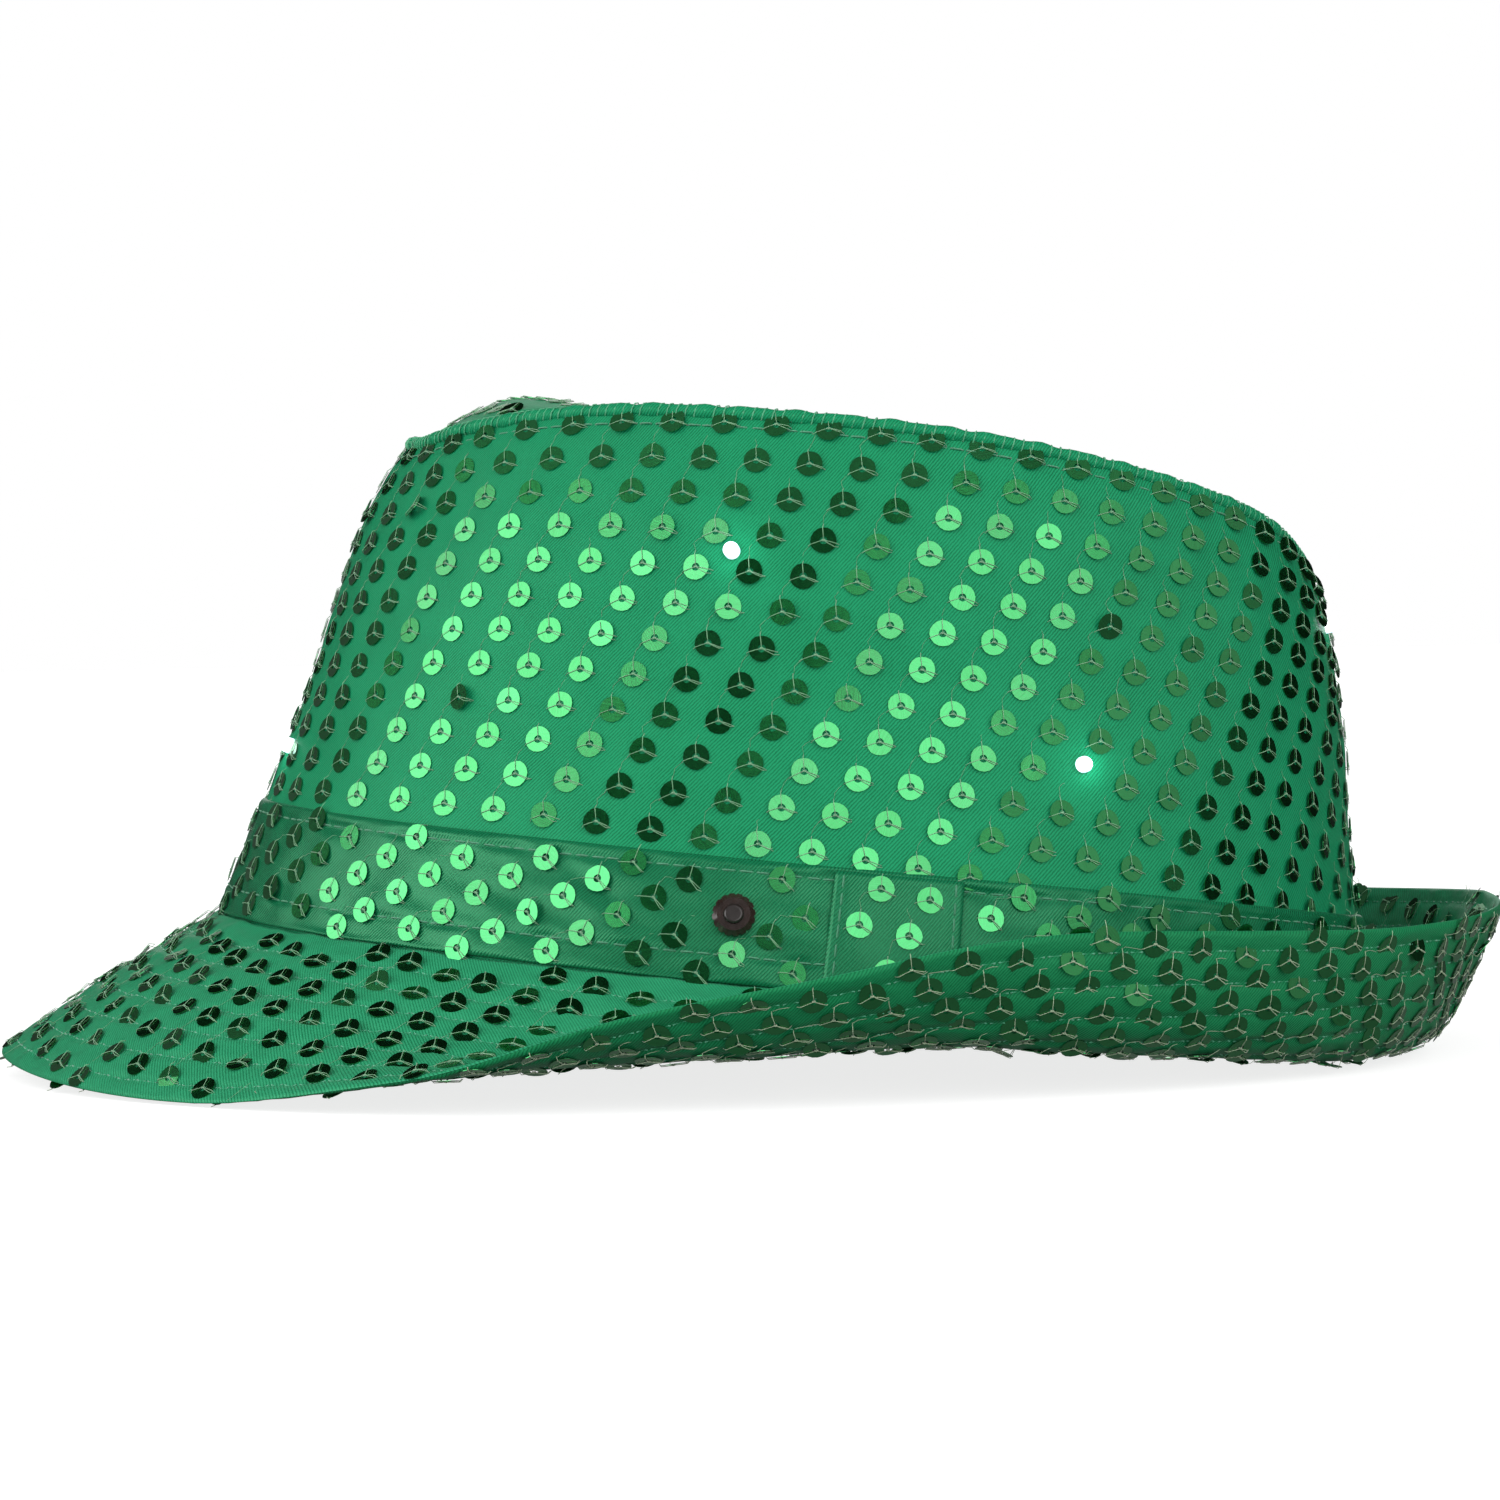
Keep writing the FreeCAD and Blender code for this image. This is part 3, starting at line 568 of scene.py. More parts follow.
def sew_sequins(name, locate, spots, ahead, turn, seed, aim=None, side=1.0, fold=0.0, loose=0.02,
                stray=0.03, float_size=0.55, sewn_with=SEQUIN_THREAD):
    """Discs and their threads on a cloth.

    locate turns flat places into head-frame points, or nan where no disc fits. ahead is the flat
    step to the next disc on the thread, and turn the angle of the threads. aim gives the way the
    discs face. side is -1 on the cloth's other face. fold bends each disc along its middle, loose
    tilts them all a little, and stray is the share of them that lie crooked.
    """
    step = 0.4
    here, right, up, after = (locate(spots + np.array(d)) for d in ((0, 0), (step, 0), (0, step), ahead))
    good = np.isfinite(here + right + up).all(-1) & clear_of_parts(here)
    spots, here, right, up, after = (a[good] for a in (spots, here, right, up, after))
    draw = np.random.default_rng(seed)
    count = len(here)
    x = unit(right - here)
    z = unit(np.cross(x, up - here)) * side
    y = np.cross(z, x)
    c, s = math.cos(turn), math.sin(turn)
    x, y = x * c + y * s, y * c - x * s
    own = np.stack([x, y, z], -1)
    slack = draw.normal(0, loose, (count, 2))
    slack = slack + draw.normal(0, 0.16, (count, 2)) * (draw.random(count) < stray)[:, None]
    facing = unit((aim(spots, z) if aim else z) + x * slack[:, :1] + y * slack[:, 1:])
    level = unit(x - facing * (x * facing).sum(-1, keepdims=True))
    disc = np.stack([level, np.cross(facing, level), facing], -1)
    swing = np.sqrt(np.clip(1 - (facing * z).sum(-1) ** 2, 0, 1))
    centre = here + z * (SEQUIN_STAND + 0.75 * SEQUIN_RADIUS * swing)[:, None]

    def on_discs(points):
        return centre[:, None] + np.einsum("nij,nkj->nki", disc, points)

    template, faces = disc_template()
    around = np.arctan2(template[:, 1], template[:, 0])[None]
    phase = draw.uniform(0, 2 * PI, (3, count, 1))
    uneven = 1 + 0.014 * np.sin(3 * around + phase[0]) + 0.012 * np.sin(5 * around + phase[1])
    flat = template[None, :, :2] * uneven[..., None]
    bend = -fold * np.abs(flat[..., 1]) * draw.uniform(0.4, 1.5, (count, 1))
    local = np.concatenate([flat, (template[None, :, 2] + bend)[..., None]], -1)
    index = (faces[None] + (np.arange(count) * len(template))[:, None, None]).reshape(-1, 4).tolist()
    piece = new_piece(name + "_sequins", rest(on_discs(local)), index, FILM, smooth_faces=False)
    spin = phase[2][:, :, None]
    uv = template[faces][..., :2][None]
    uv = np.stack([uv[..., 0] * np.cos(spin) - uv[..., 1] * np.sin(spin),
                   uv[..., 0] * np.sin(spin) + uv[..., 1] * np.cos(spin)], -1)
    set_uv(piece, (uv + draw.uniform(0, 400, (count, 1, 1, 2))).reshape(-1, 2))
    tone = piece.data.attributes.new("tone", "FLOAT", "FACE")
    tone.data.foreach_set("value", np.repeat(draw.uniform(0, 1, count), len(faces)).astype(np.float32))

    lift = 0.16
    rim = SEQUIN_RADIUS
    arms = (
        [(0, 0, 0.12), (0.0, 1.2, 0.16), (-0.05, rim, lift), (0.1, rim + 0.75, -0.25)],
        [(0, 0, 0.12), (-1.1, -0.25, 0.16), (-rim * 0.97, -0.62, lift), (-rim - 0.35, -0.8, -0.2)],
        [(0, 0, 0.12), (1.1, -0.42, 0.16), (rim * 0.92, -0.95, lift), (rim + 0.3, -1.15, -0.2)],
        [(0, 0, 0.12), (0.9, -0.62, 0.16), (rim * 0.82, -1.3, lift), (rim + 0.3, -1.2, -0.2)],
    )
    paths = []
    for arm in arms:
        path = np.array(arm)[None].repeat(count, 0)
        path[..., :2] += draw.normal(0, 0.16, (count, 1, 2)) * np.linspace(0, 1, 4)[None, :, None]
        line = on_discs(path)
        line[:, 3] = here + np.einsum("nij,nj->ni", own, path[:, 3] * np.array([1, 1, 0]))
        paths.append(line)
    ups = np.tile(z, (len(arms), 1))[:, None]
    ties = tubes(name + "_thread_ties", np.concatenate(paths), ups, ARM_RADIUS, sewn_with)
    knot = np.array([(-0.32, 0.06, 0.02), (0.0, -0.04, 0.1), (0.3, 0.05, 0.02)])[None].repeat(count, 0)
    knots = tubes(name + "_thread_knots", on_discs(knot), z[:, None], KNOT_RADIUS, sewn_with)

    onward = np.isfinite(after).all(-1)
    own = own[onward]
    first = here[onward] + own @ np.array([0.1, rim + 0.75, 0.03])
    last = after[onward] + own @ np.array([-rim - 0.35, -0.8, 0.03])
    way = last - first
    sag = np.stack([-0.35 + draw.normal(0, 0.25, len(way)), 0.3 + draw.normal(0, 0.2, len(way)),
                    np.full(len(way), 0.05)], -1)
    sag = np.einsum("nij,nj->ni", own, sag)
    run = np.stack([first, first + way * 0.35 + sag, first + way * 0.7 + sag * 0.6, last], 1)
    floats = tubes(name + "_thread_floats", run, z[onward][:, None], ARM_RADIUS * float_size, sewn_with, 3)
    for item in (piece, ties, knots, floats):
        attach(item, "hat")


def stitch_row(name, points, normals, seed, material=STITCH_THREAD, length=STITCH_LENGTH,
               gap=STITCH_GAP):
    """Dashes of a sewn row along a closed or open line of points on a cloth."""
    draw = np.random.default_rng(seed)
    steps = np.linalg.norm(np.diff(points, axis=0), axis=-1)
    place = np.concatenate([[0], np.cumsum(steps)])
    count = max(1, int(place[-1] / (length + gap)))
    pitch = place[-1] / count
    start = (np.arange(count) + draw.uniform(-0.05, 0.05, count)) * pitch
    heights = np.array([-0.12, 0.10, 0.15, 0.10, -0.12])
    share = np.array([0, 0.2, 0.5, 0.8, 1.0])
    at = start[:, None] + share[None] * (pitch - gap) * draw.uniform(0.9, 1.03, (count, 1))
    at = np.clip(at, 0, place[-1])
    line = np.stack([np.interp(at, place, points[:, k]) for k in range(3)], -1)
    up = np.stack([np.interp(at, place, normals[:, k]) for k in range(3)], -1)
    up /= np.linalg.norm(up, axis=-1, keepdims=True)
    line = line + up * heights[None, :, None]
    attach(tubes(name, line, up, STITCH_RADIUS, material), "hat")


# ---------------- crown

COLUMNS = 480
TURN = 2 * PI * np.arange(COLUMNS) / COLUMNS
WALL_ROWS = 100


def arc_of(points):
    """Length along a closed line of points, with its whole length last."""
    return np.concatenate([[0], np.cumsum(np.linalg.norm(np.roll(points, -1, 0) - points, axis=-1))])


def column_at(along, arc):
    """Column of a grid at a length along its closed line."""
    return np.interp(np.mod(along, arc[-1]), arc, np.arange(COLUMNS + 1))


def stitch_round(name, face, normals, row, **kind):
    """A sewn row all the way round a face, along one of its rows of points."""
    columns, rows = np.append(np.arange(COLUMNS), 0), np.full(COLUMNS + 1, row)
    stitch_row(name, look_up(face, columns, rows), look_up(normals, columns, rows), **kind)


def crown_grid(rows):
    share = np.linspace(0, 1, rows)
    grid = wall_point(TURN[:, None], share[None, :])
    normals = normals_of(grid)
    swell = ripple(grid, 34.0, 4, 0.32) + ripple(grid, 12.0, 5, 0.10)
    edge = smooth(share / 0.25) * smooth((1 - share) / 0.06)
    return grid + normals * (swell * edge)[..., None]


CROWN = crown_grid(WALL_ROWS)
WALL_NORMALS = normals_of(wall_point(TURN[:, None], np.linspace(0, 1, WALL_ROWS)[None, :]))
CROWN_ARC = arc_of(wall_point(TURN, 0.5))
BAND_ARC = arc_of(wall_point(TURN, 0.1))
CROWN_SLANT = float(np.linalg.norm(wall_point(TURN, 1.0) - wall_point(TURN, 0.0), axis=-1).mean())
LEFT_SIDE = CROWN_ARC[COLUMNS // 4]
CROWN_STEP = (3.06, 6.73)
CROWN_MIDDLE = 58.9


def crown_locate(points):
    """Flat places run along the crown from the wearer's left towards the back, and up from the brim."""
    column = column_at(points[:, 0] + LEFT_SIDE, CROWN_ARC)
    share = points[:, 1] / CROWN_SLANT
    spot = look_up(CROWN, column, share * (WALL_ROWS - 1))
    from_back = np.abs(np.mod(column, COLUMNS) - COLUMNS / 2) * 360 / COLUMNS
    away = (from_back < 1.2) | (points[:, 1] < BAND_BOTTOM + BAND_HEIGHT - 1.5) | (share > 0.99)
    spot[away] = np.nan
    return spot


def crown_aim(points, own):
    """Discs on one thread line are pulled round to face the same way, less so at the front."""
    pull = smooth((points[:, :1] + 78) / 34)
    middle = points - pull * (points[:, 1:] - CROWN_MIDDLE) / CROWN_STEP[1] * np.array(CROWN_STEP)
    column = column_at(middle[:, 0] + LEFT_SIDE, CROWN_ARC)
    out = unit(look_up(WALL_NORMALS, column, np.full(len(points), 56.0))[:, :2])
    column = column_at(points[:, 0] + LEFT_SIDE, CROWN_ARC)
    rise = look_up(WALL_NORMALS, column, points[:, 1] / CROWN_SLANT * (WALL_ROWS - 1))[:, 2:]
    return np.concatenate([out * np.sqrt(1 - rise ** 2), rise], -1)


def crown_places():
    """Rows and thread lines of the crown's discs, a little stretched by the shaping of the cloth."""
    i, j = np.meshgrid(np.arange(-44, 17), np.arange(-10, 8), indexing="ij")
    near = np.clip(i, -12, 12)
    curl = np.minimum(i * i, 100)
    u = 9.87 * i + CROWN_STEP[0] * j + 0.1035 * near * j - 0.060 * curl
    v = 58.95 - 0.29 * i + CROWN_STEP[1] * j + 0.036 * near * j - 0.019 * curl
    back = CROWN_ARC[COLUMNS // 2]
    once = (u + LEFT_SIDE < back) & (u + LEFT_SIDE > back - CROWN_ARC[-1])
    return np.stack([u, v], -1)[once]


def make_crown():
    flat = np.stack(np.meshgrid(CROWN_ARC, np.linspace(0, CROWN_SLANT, WALL_ROWS), indexing="ij"), -1)
    side = shell("crown_side", CROWN, CROWN + normals_of(CROWN) * CROWN_IN, flat, SATIN)
    size = (BAND_ARC[-1], CROWN_SLANT + BAND_HEM)
    cloth(side, ["crown_side_panel"], size)
    sew_sequins("crown_side", crown_locate, crown_places(), CROWN_STEP, math.radians(10), 21, crown_aim)


def tip_inside(x, y, inset):
    t = np.arctan2(x / TOP_HALF_WIDTH, -(y - TOP_SHIFT) / TOP_HALF_LENGTH)
    sx, sy, _ = seam_point(t)
    return np.hypot(x, y - TOP_SHIFT) < np.hypot(sx, sy - TOP_SHIFT) - inset


def tip_polar(drop, inset, rings=46):
    """Tip as rings of points that shrink from the seam to the middle."""
    sx, sy, _ = seam_point(TURN[::2])
    out = outward(TURN[::2])
    share = np.linspace(1, 0.002, rings)[None, :]
    ex, ey = sx - out[0] * inset, sy - out[1] * inset
    x = ex[:, None] * share
    y = TOP_SHIFT + (ey[:, None] - TOP_SHIFT) * share
    z = tip_height(x, y) - drop
    grid = np.stack([x, y, z], -1)
    grid[..., 2] += ripple(grid, 26.0, 8, 0.35) * smooth((1 - share) / 0.15)
    return grid


def tip_surface(points):
    z = tip_height(points[:, 0], points[:, 1])
    spots = np.stack([points[:, 0], points[:, 1], z], -1)
    spots[..., 2] += ripple(spots, 26.0, 8, 0.35)
    spots[~tip_inside(points[:, 0], points[:, 1], 2.6)] = np.nan
    return spots


def make_tip():
    grid = tip_polar(0.0, 0.9)
    under = grid - np.array([0, 0, 1.0])
    flat = np.concatenate([grid, grid[:1]])[..., :2]
    tip = shell("crown_tip", grid, under, flat, SATIN)
    size = (2.3 * TOP_HALF_WIDTH, 2.2 * TOP_HALF_LENGTH)
    cloth(tip, ["crown_tip_panel"], size)
    line = (7.2, 2.4)
    spots = lattice((0.0, 2.0), (-2.9, 9.0), line, (-16, 17), (-24, 25))
    sew_sequins("crown_tip", tip_surface, spots, line, math.radians(-60), 22)


def make_welt():
    """Overlocked seam round the tip: a soft ridge wound with thread, and a row of top stitching."""
    x, y, z = seam_point(TURN[:, None])
    out = outward(TURN[:, None])
    sides = 14
    a = 2 * PI * np.arange(sides) / sides
    wobble = (1 + 0.12 * np.sin(TURN * 61) + 0.08 * np.sin(TURN * 97 + 1))[:, None]
    reach = 1.15 * np.cos(a) * wobble - 0.4
    rise = 1.35 * np.sin(a) * wobble + 0.15
    ridge = np.stack([x + out[0] * reach, y + out[1] * reach, z + rise], -1)
    corner = quads(COLUMNS, sides + 1, True)
    index = (corner[..., 0] % COLUMNS) * sides + corner[..., 1] % sides
    piece = new_piece("crown_seam", rest(ridge), index.tolist(), SATIN)
    set_uv(piece, np.stack([CROWN_ARC[corner[..., 0]], corner[..., 1] * 0.55], -1))
    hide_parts("crown_seam_welt")
    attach(piece, "hat")

    count = 300
    t = 2 * PI * (np.arange(count)[:, None] + np.linspace(-0.35, 0.35, 7)[None]) / count
    a = np.linspace(-0.45 * PI, 1.1 * PI, 7)[None]
    x, y, z = seam_point(t)
    out = outward(t)
    reach = 1.25 * np.cos(a) - 0.4
    wind = np.stack([x + out[0] * reach, y + out[1] * reach, z + 1.45 * np.sin(a) + 0.15], -1)
    up = np.stack([out[0] * np.cos(a), out[1] * np.cos(a), np.sin(a) + 0 * z], -1)
    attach(tubes("crown_seam_overlock", wind, up, 0.13, SEAM_THREAD), "hat")

    loop = np.append(TURN, TURN[:1])
    line = wall_point(loop, 1 - 2.4 / wall_rise(loop), 0.05)
    x, y = outward(loop)
    stitch_row("crown_seam_stitches", line, np.stack([x, y, 0.25 + 0 * x], -1), seed=31)


# ---------------- band

def band_rows():
    """Heights and stand-off of the folded band's face, from its lower fold to its upper one."""
    rise = np.concatenate([[0.0, 0.15, 0.5, 1.0], np.linspace(1.6, BAND_HEIGHT - 1.6, 30),
                           [BAND_HEIGHT - 1.0, BAND_HEIGHT - 0.5, BAND_HEIGHT - 0.15, BAND_HEIGHT]])
    edge = np.minimum(rise, BAND_HEIGHT - rise)
    round_off = 1 - np.sqrt(np.clip(1 - np.clip(1 - edge / 0.6, 0, 1) ** 2, 0, 1))
    return rise, BAND_OUT - 0.5 * round_off


BAND_ROW = (10.86, -2.43)
BAND_STEP = (5.89, 3.83)
BAND_TOP_STITCH = BAND_HEIGHT - 2.3
BAND_LOW_STITCH = 5.0


def band_grid():
    rise, off = band_rows()
    height = wall_rise(TURN)[:, None]
    share = (BAND_BOTTOM + rise[None]) / height
    grid = wall_point(TURN[:, None], share, off[None])
    flat = wall_point(TURN[:, None], share, 0.0)
    crease = ripple(flat, 30.0, 14, 0.34) + ripple(flat * np.array([1, 1, 2.2]), 13.0, 15, 0.24)
    angle = np.degrees(TURN)[:, None]
    line = (angle - 60) * 1.35 - (BAND_HEIGHT - rise[None]) * 1.1
    crease = crease - 0.45 * np.exp(-(line / 2.6) ** 2) * smooth((rise[None] - 5) / 6)
    line = (angle - 47) * 1.35 + (BAND_HEIGHT - rise[None]) * 0.9 - 6
    crease = crease + 0.35 * np.exp(-(line / 3.5) ** 2)
    for row in (BAND_TOP_STITCH, BAND_LOW_STITCH):
        crease = crease - 0.34 * np.exp(-((rise[None] - row) / 0.6) ** 2)
        crease = crease + ripple(flat, 5.5, 16, 0.22) * np.exp(-((rise[None] - row) / 1.8) ** 2)
    edge = smooth(np.minimum(rise, BAND_HEIGHT - rise) / 1.2)[None]
    grid = grid + normals_of(grid) * (crease * edge)[..., None]
    back = wall_point(TURN[:, None], share, BAND_IN)
    return grid, back, rise


BAND, BAND_BACK, BAND_RISE = band_grid()


def band_locate(points):
    column = column_at(points[:, 0], BAND_ARC)
    row = np.interp(points[:, 1], BAND_RISE, np.arange(len(BAND_RISE)))
    spot = look_up(BAND, column, row)
    spot[(points[:, 1] < 0.9) | (points[:, 1] > BAND_HEIGHT - 1.0)] = np.nan
    degrees = column * 360 / COLUMNS
    spot[(degrees > TAB_ANGLES[0] - 1.5) & (degrees < TAB_ANGLES[1] + 1.5)] = np.nan
    return spot


def band_aim(points, own):
    """Discs stay level over the small creases of the band."""
    return look_up(WALL_NORMALS, column_at(points[:, 0], BAND_ARC), np.full(len(points), 12.0))


def make_band():
    flat = np.stack(np.meshgrid(BAND_ARC, BAND_RISE, indexing="ij"), -1)
    band = shell("band", BAND, BAND_BACK, flat, SATIN_BAND_PAINTED_SHADE)
    cloth(band, ["hatband"], (BAND_ARC[-1], BAND_HEIGHT + BAND_HEM))
    spots = lattice((93.13, 8.66), BAND_ROW, BAND_STEP, (-14, 60), (-30, 40))
    spots = spots[(spots[:, 0] > 0) & (spots[:, 0] < BAND_ARC[-1] - 5)]
    sew_sequins("band", band_locate, spots, BAND_STEP, math.radians(-14), 23, aim=band_aim)
    normals = normals_of(BAND)
    for name, rise, seed in (("top", BAND_TOP_STITCH, 41), ("low", BAND_LOW_STITCH, 42)):
        row = np.interp(rise, BAND_RISE, np.arange(len(BAND_RISE)))
        stitch_round("band_%s_stitches" % name, BAND, normals, row, seed=seed)


def make_tab():
    """Folded end of the band, lapped over it behind the button, with its sewn edges."""
    columns, rows = 30, 26
    t = np.radians(np.linspace(*TAB_ANGLES, columns))[:, None]
    rise = np.linspace(TAB_SHORT, BAND_HEIGHT - TAB_SHORT, rows)
    share = (BAND_BOTTOM + rise) / wall_rise(t)
    along = np.linspace(0, 1, columns)
    edge = np.minimum(along, 1 - along)[:, None] * 27
    edge = np.minimum(edge, np.minimum(rise, BAND_HEIGHT - rise))
    puff = TAB_OUT - 0.45 * np.exp(-(edge / 0.5) ** 2) - 0.22 * np.exp(-((edge - 1.7) / 0.5) ** 2)
    grid = wall_point(t, share, puff)
    grid = grid + normals_of(grid, False) * ripple(grid, 16.0, 17, 0.16)[..., None]
    back = wall_point(t, share, BAND_OUT + 0.12)
    flat = np.stack(np.meshgrid(np.linspace(0, TAB_WIDTH, columns), rise, indexing="ij"), -1)
    tab = shell("band_tab", grid, back, flat, SATIN_BAND_PAINTED_SHADE, wrap=False)
    size = (TAB_WIDTH + BAND_HEM, BAND_HEIGHT + BAND_HEM)
    cloth(tab, ["hatband_tab"], size)

    def locate(points):
        x, y = points.T
        row = (y - TAB_SHORT) / (BAND_HEIGHT - 2 * TAB_SHORT) * (rows - 1)
        spot = look_up(grid, x / TAB_WIDTH * (columns - 1), row, False)
        spot[(x < 2.6) | (x > TAB_WIDTH - 2.5) | (y < 2.0) | (y > BAND_HEIGHT - 2.0)] = np.nan
        return spot

    line = (3.4, 6.7)
    spots = lattice((5.5, 12.5), (9.4, -1.2), line, (-6, 6), (-6, 6))
    sew_sequins("band_tab", locate, spots, line, 0.0, 24)
    normals = normals_of(grid, False)
    for name, column in (("tab_front_stitches", 2.0), ("tab_back_stitches", columns - 3.0)):
        u, v = np.full(40, column), np.linspace(0, rows - 1, 40)
        stitch_row(name, look_up(grid, u, v, False), look_up(normals, u, v, False), seed=43)


# ---------------- brim

BRIM_STEPS = 96


def brim_layer(offset):
    return brim_grid(TURN, BRIM_STEPS, np.broadcast_to(offset, (COLUMNS, BRIM_STEPS + 1)))


def brim_face(side, seed):
    """One ply's outer face: sewn rows pull it in, and it is puffed between them."""
    middle = brim_layer(0.0)
    share = np.linspace(0, 1, BRIM_STEPS + 1)[None, :]
    width = curve(BRIM_WIDTH, fold_angle(TURN))[:, None]
    across = share * width
    pitch = width / BRIM_ROW_SPACES
    near = np.abs(across / pitch - np.clip(np.round(across / pitch), 1, BRIM_ROWS)) * pitch
    groove = (0.40 + ripple(middle, 5.0, seed + 3, 0.16)) * np.exp(-(near / 0.9) ** 2)
    from_edge = width - across
    edge = np.minimum(from_edge, 1.0)
    fold = 0.5 * (1 - np.sqrt(np.clip(1 - (1 - edge) ** 2, 0, 1)))
    swell = ripple(middle, 30.0, seed, 0.16) + ripple(middle, 8.0, seed + 1, 0.13)
    swell = swell + ripple(middle, 5.0, seed + 2, 0.16) * np.exp(-(from_edge / 4.0) ** 2)
    thin = 0.38 * smooth(1 - from_edge / 6.0)
    return brim_layer(side * (BRIM_TOP - groove * (1 - thin) - fold - thin + swell * smooth(edge)))


BRIM_UP = brim_face(1.0, 51)
BRIM_DOWN = brim_face(-1.0, 61)
BRIM_ARC = arc_of(BRIM_UP[:, BRIM_STEPS // 2])


def brim_locator(face):
    """Flat places run along the middle of the brim from the front, and out from the crown."""

    def locate(points):
        column = column_at(points[:, 0], BRIM_ARC)
        share = points[:, 1] / curve(BRIM_WIDTH, fold_angle(2 * PI * column / COLUMNS))
        spot = look_up(face, column, share * BRIM_STEPS)
        spot[(share < 0.05) | (share > 0.985)] = np.nan
        return spot

    return locate


def brim_aim(points, own):
    """Discs on top of the brim lean a little outward."""
    x, y = outward(2 * PI * column_at(points[:, 0], BRIM_ARC) / COLUMNS)
    return own + 0.22 * np.stack([x, y, 0 * x], -1)


def brim_places(origin, across, line, firsts, lines):
    spots = lattice(origin, across, line, firsts, lines)
    return spots[(spots[:, 0] > 0) & (spots[:, 0] < BRIM_ARC[-1])]


def make_brim():
    width = curve(BRIM_WIDTH, fold_angle(np.append(TURN, 0.0)))[:, None]
    across = width * np.linspace(0, 1, BRIM_STEPS + 1)[None]
    flat = np.stack([BRIM_ARC[:, None] + 0 * across, across], -1)
    top = shell("brim_top", BRIM_UP, brim_layer(0.05), flat, SATIN_BRIM_PAINTED_HIGHLIGHT)
    under = shell("brim_under", brim_layer(-0.05), BRIM_DOWN, flat + 300.0, SATIN_UNDER_PAINTED_SHADE)
    size = (265.0, 312.0)
    cloth(top, ["brim_upper_ply", "brim_stiffener"], size)
    cloth(under, ["brim_lower_ply"], size)
    line = (-3.04, 6.83)
    spots = brim_places((88.75, 25.16), (9.59, 1.87), line, (-12, 75), (-30, 12))
    sew_sequins("brim_top", brim_locator(BRIM_UP), spots, line, math.radians(10), 25, aim=brim_aim,
                side=-1.0, fold=0.05, loose=0.05, stray=0.015)
    line = (5.64, 3.52)
    spots = brim_places((255.94, 31.82), (9.21, -1.41), line, (-60, 60), (-50, 60))
    sew_sequins("brim_under", brim_locator(BRIM_DOWN), spots, line, 0.0, 26, loose=0.04, stray=0.008,
                float_size=0.8, sewn_with=UNDER_THREAD)
    for face, sign, label in ((BRIM_UP, 1, "top"), (BRIM_DOWN, -1, "under")):
        normals = normals_of(face) * sign
        for k in range(1, BRIM_ROWS + 1):
            name, row = "brim_%s_stitches_%d" % (label, k), BRIM_STEPS * k / BRIM_ROW_SPACES
            stitch_round(name, face, normals, row, material=BRIM_THREAD, length=2.7, gap=0.5, seed=70 + k)


# ---------------- inside

def pocket(t, rise):
    """Extra depth of the sweatband where it covers the battery case."""
    x, y = head_oval(t)
    centre = head_oval(math.radians(MODULE_ANGLE))[1]
    across = 1 - smooth((np.abs(y - centre) - POCKET_HALF) / POCKET_EDGE)
    return np.where(x < 0, 0.0, POCKET_DEPTH * across) * smooth((rise - POCKET_START) / POCKET_RISE)


def inner_layer(name, rises, face, back, material, replaced, seed, depth=None):
    """Cloth inside the crown, from its rows' heights above the brim; gives the points of its face."""
    share = rises / wall_rise(TURN)[:, None]
    extra = depth(TURN[:, None], rises) if depth else 0.0
    inner = wall_point(TURN[:, None], share, face - extra)
    outer = wall_point(TURN[:, None], share, back - extra)
    soft = ripple(inner, 24.0, seed, 0.12) * smooth(np.linspace(0, 1, rises.shape[1]) * 8)[None]
    inner = inner - normals_of(inner) * (soft + 0.1)[..., None]
    arc = np.repeat(BAND_ARC[:, None], rises.shape[1], 1)
    flat = np.stack([arc, np.concatenate([rises, rises[:1]])], -1)
    piece = shell(name, outer, inner, flat, material)
    width = float((rises[:, -1] - rises[:, 0]).max())
    cloth(piece, [replaced], (BAND_ARC[-1], width + 8))
    return inner


def make_inside():
    height = wall_rise(TURN)[:, None]
    steps = np.concatenate([[0, 0.3, 0.7, 1.2, 1.8, 2.5, 3.2, 4.2],
                            np.linspace(5.5, SWEATBAND_HEIGHT - 0.8, 20),
                            [SWEATBAND_HEIGHT - 0.3, SWEATBAND_HEIGHT]]) + 0.3
    face = inner_layer("sweatband_tape", steps[None] + 0 * height, SWEATBAND_FACE, SWEATBAND_BACK, TAPE,
                       "sweatband", 81, pocket)
    normals = -normals_of(face)
    for row, seed in ((5.0, 82), (26.0, 83)):
        stitch_round("sweatband_stitches_%d" % seed, face, normals, row, seed=seed)
    rises = LINING_START + (height - LINING_END - LINING_START) * np.linspace(0, 1, 60)[None]
    inner_layer("lining_side_cloth", rises, LINING_FACE, LINING_BACK, LINING,
                "lining_side", 84)
    grid = tip_polar(LINING_TIP_DROP, LINING_TIP_INSET)
    flat = np.concatenate([grid, grid[:1]])[..., :2]
    tip = shell("lining_tip_cloth", grid, grid - np.array([0, 0, LINING_TIP_THICK]), flat, LINING)
    size = (2.2 * TOP_HALF_WIDTH, 2.1 * TOP_HALF_LENGTH)
    cloth(tip, ["lining_tip"], size)


# ---------------- carried-over parts

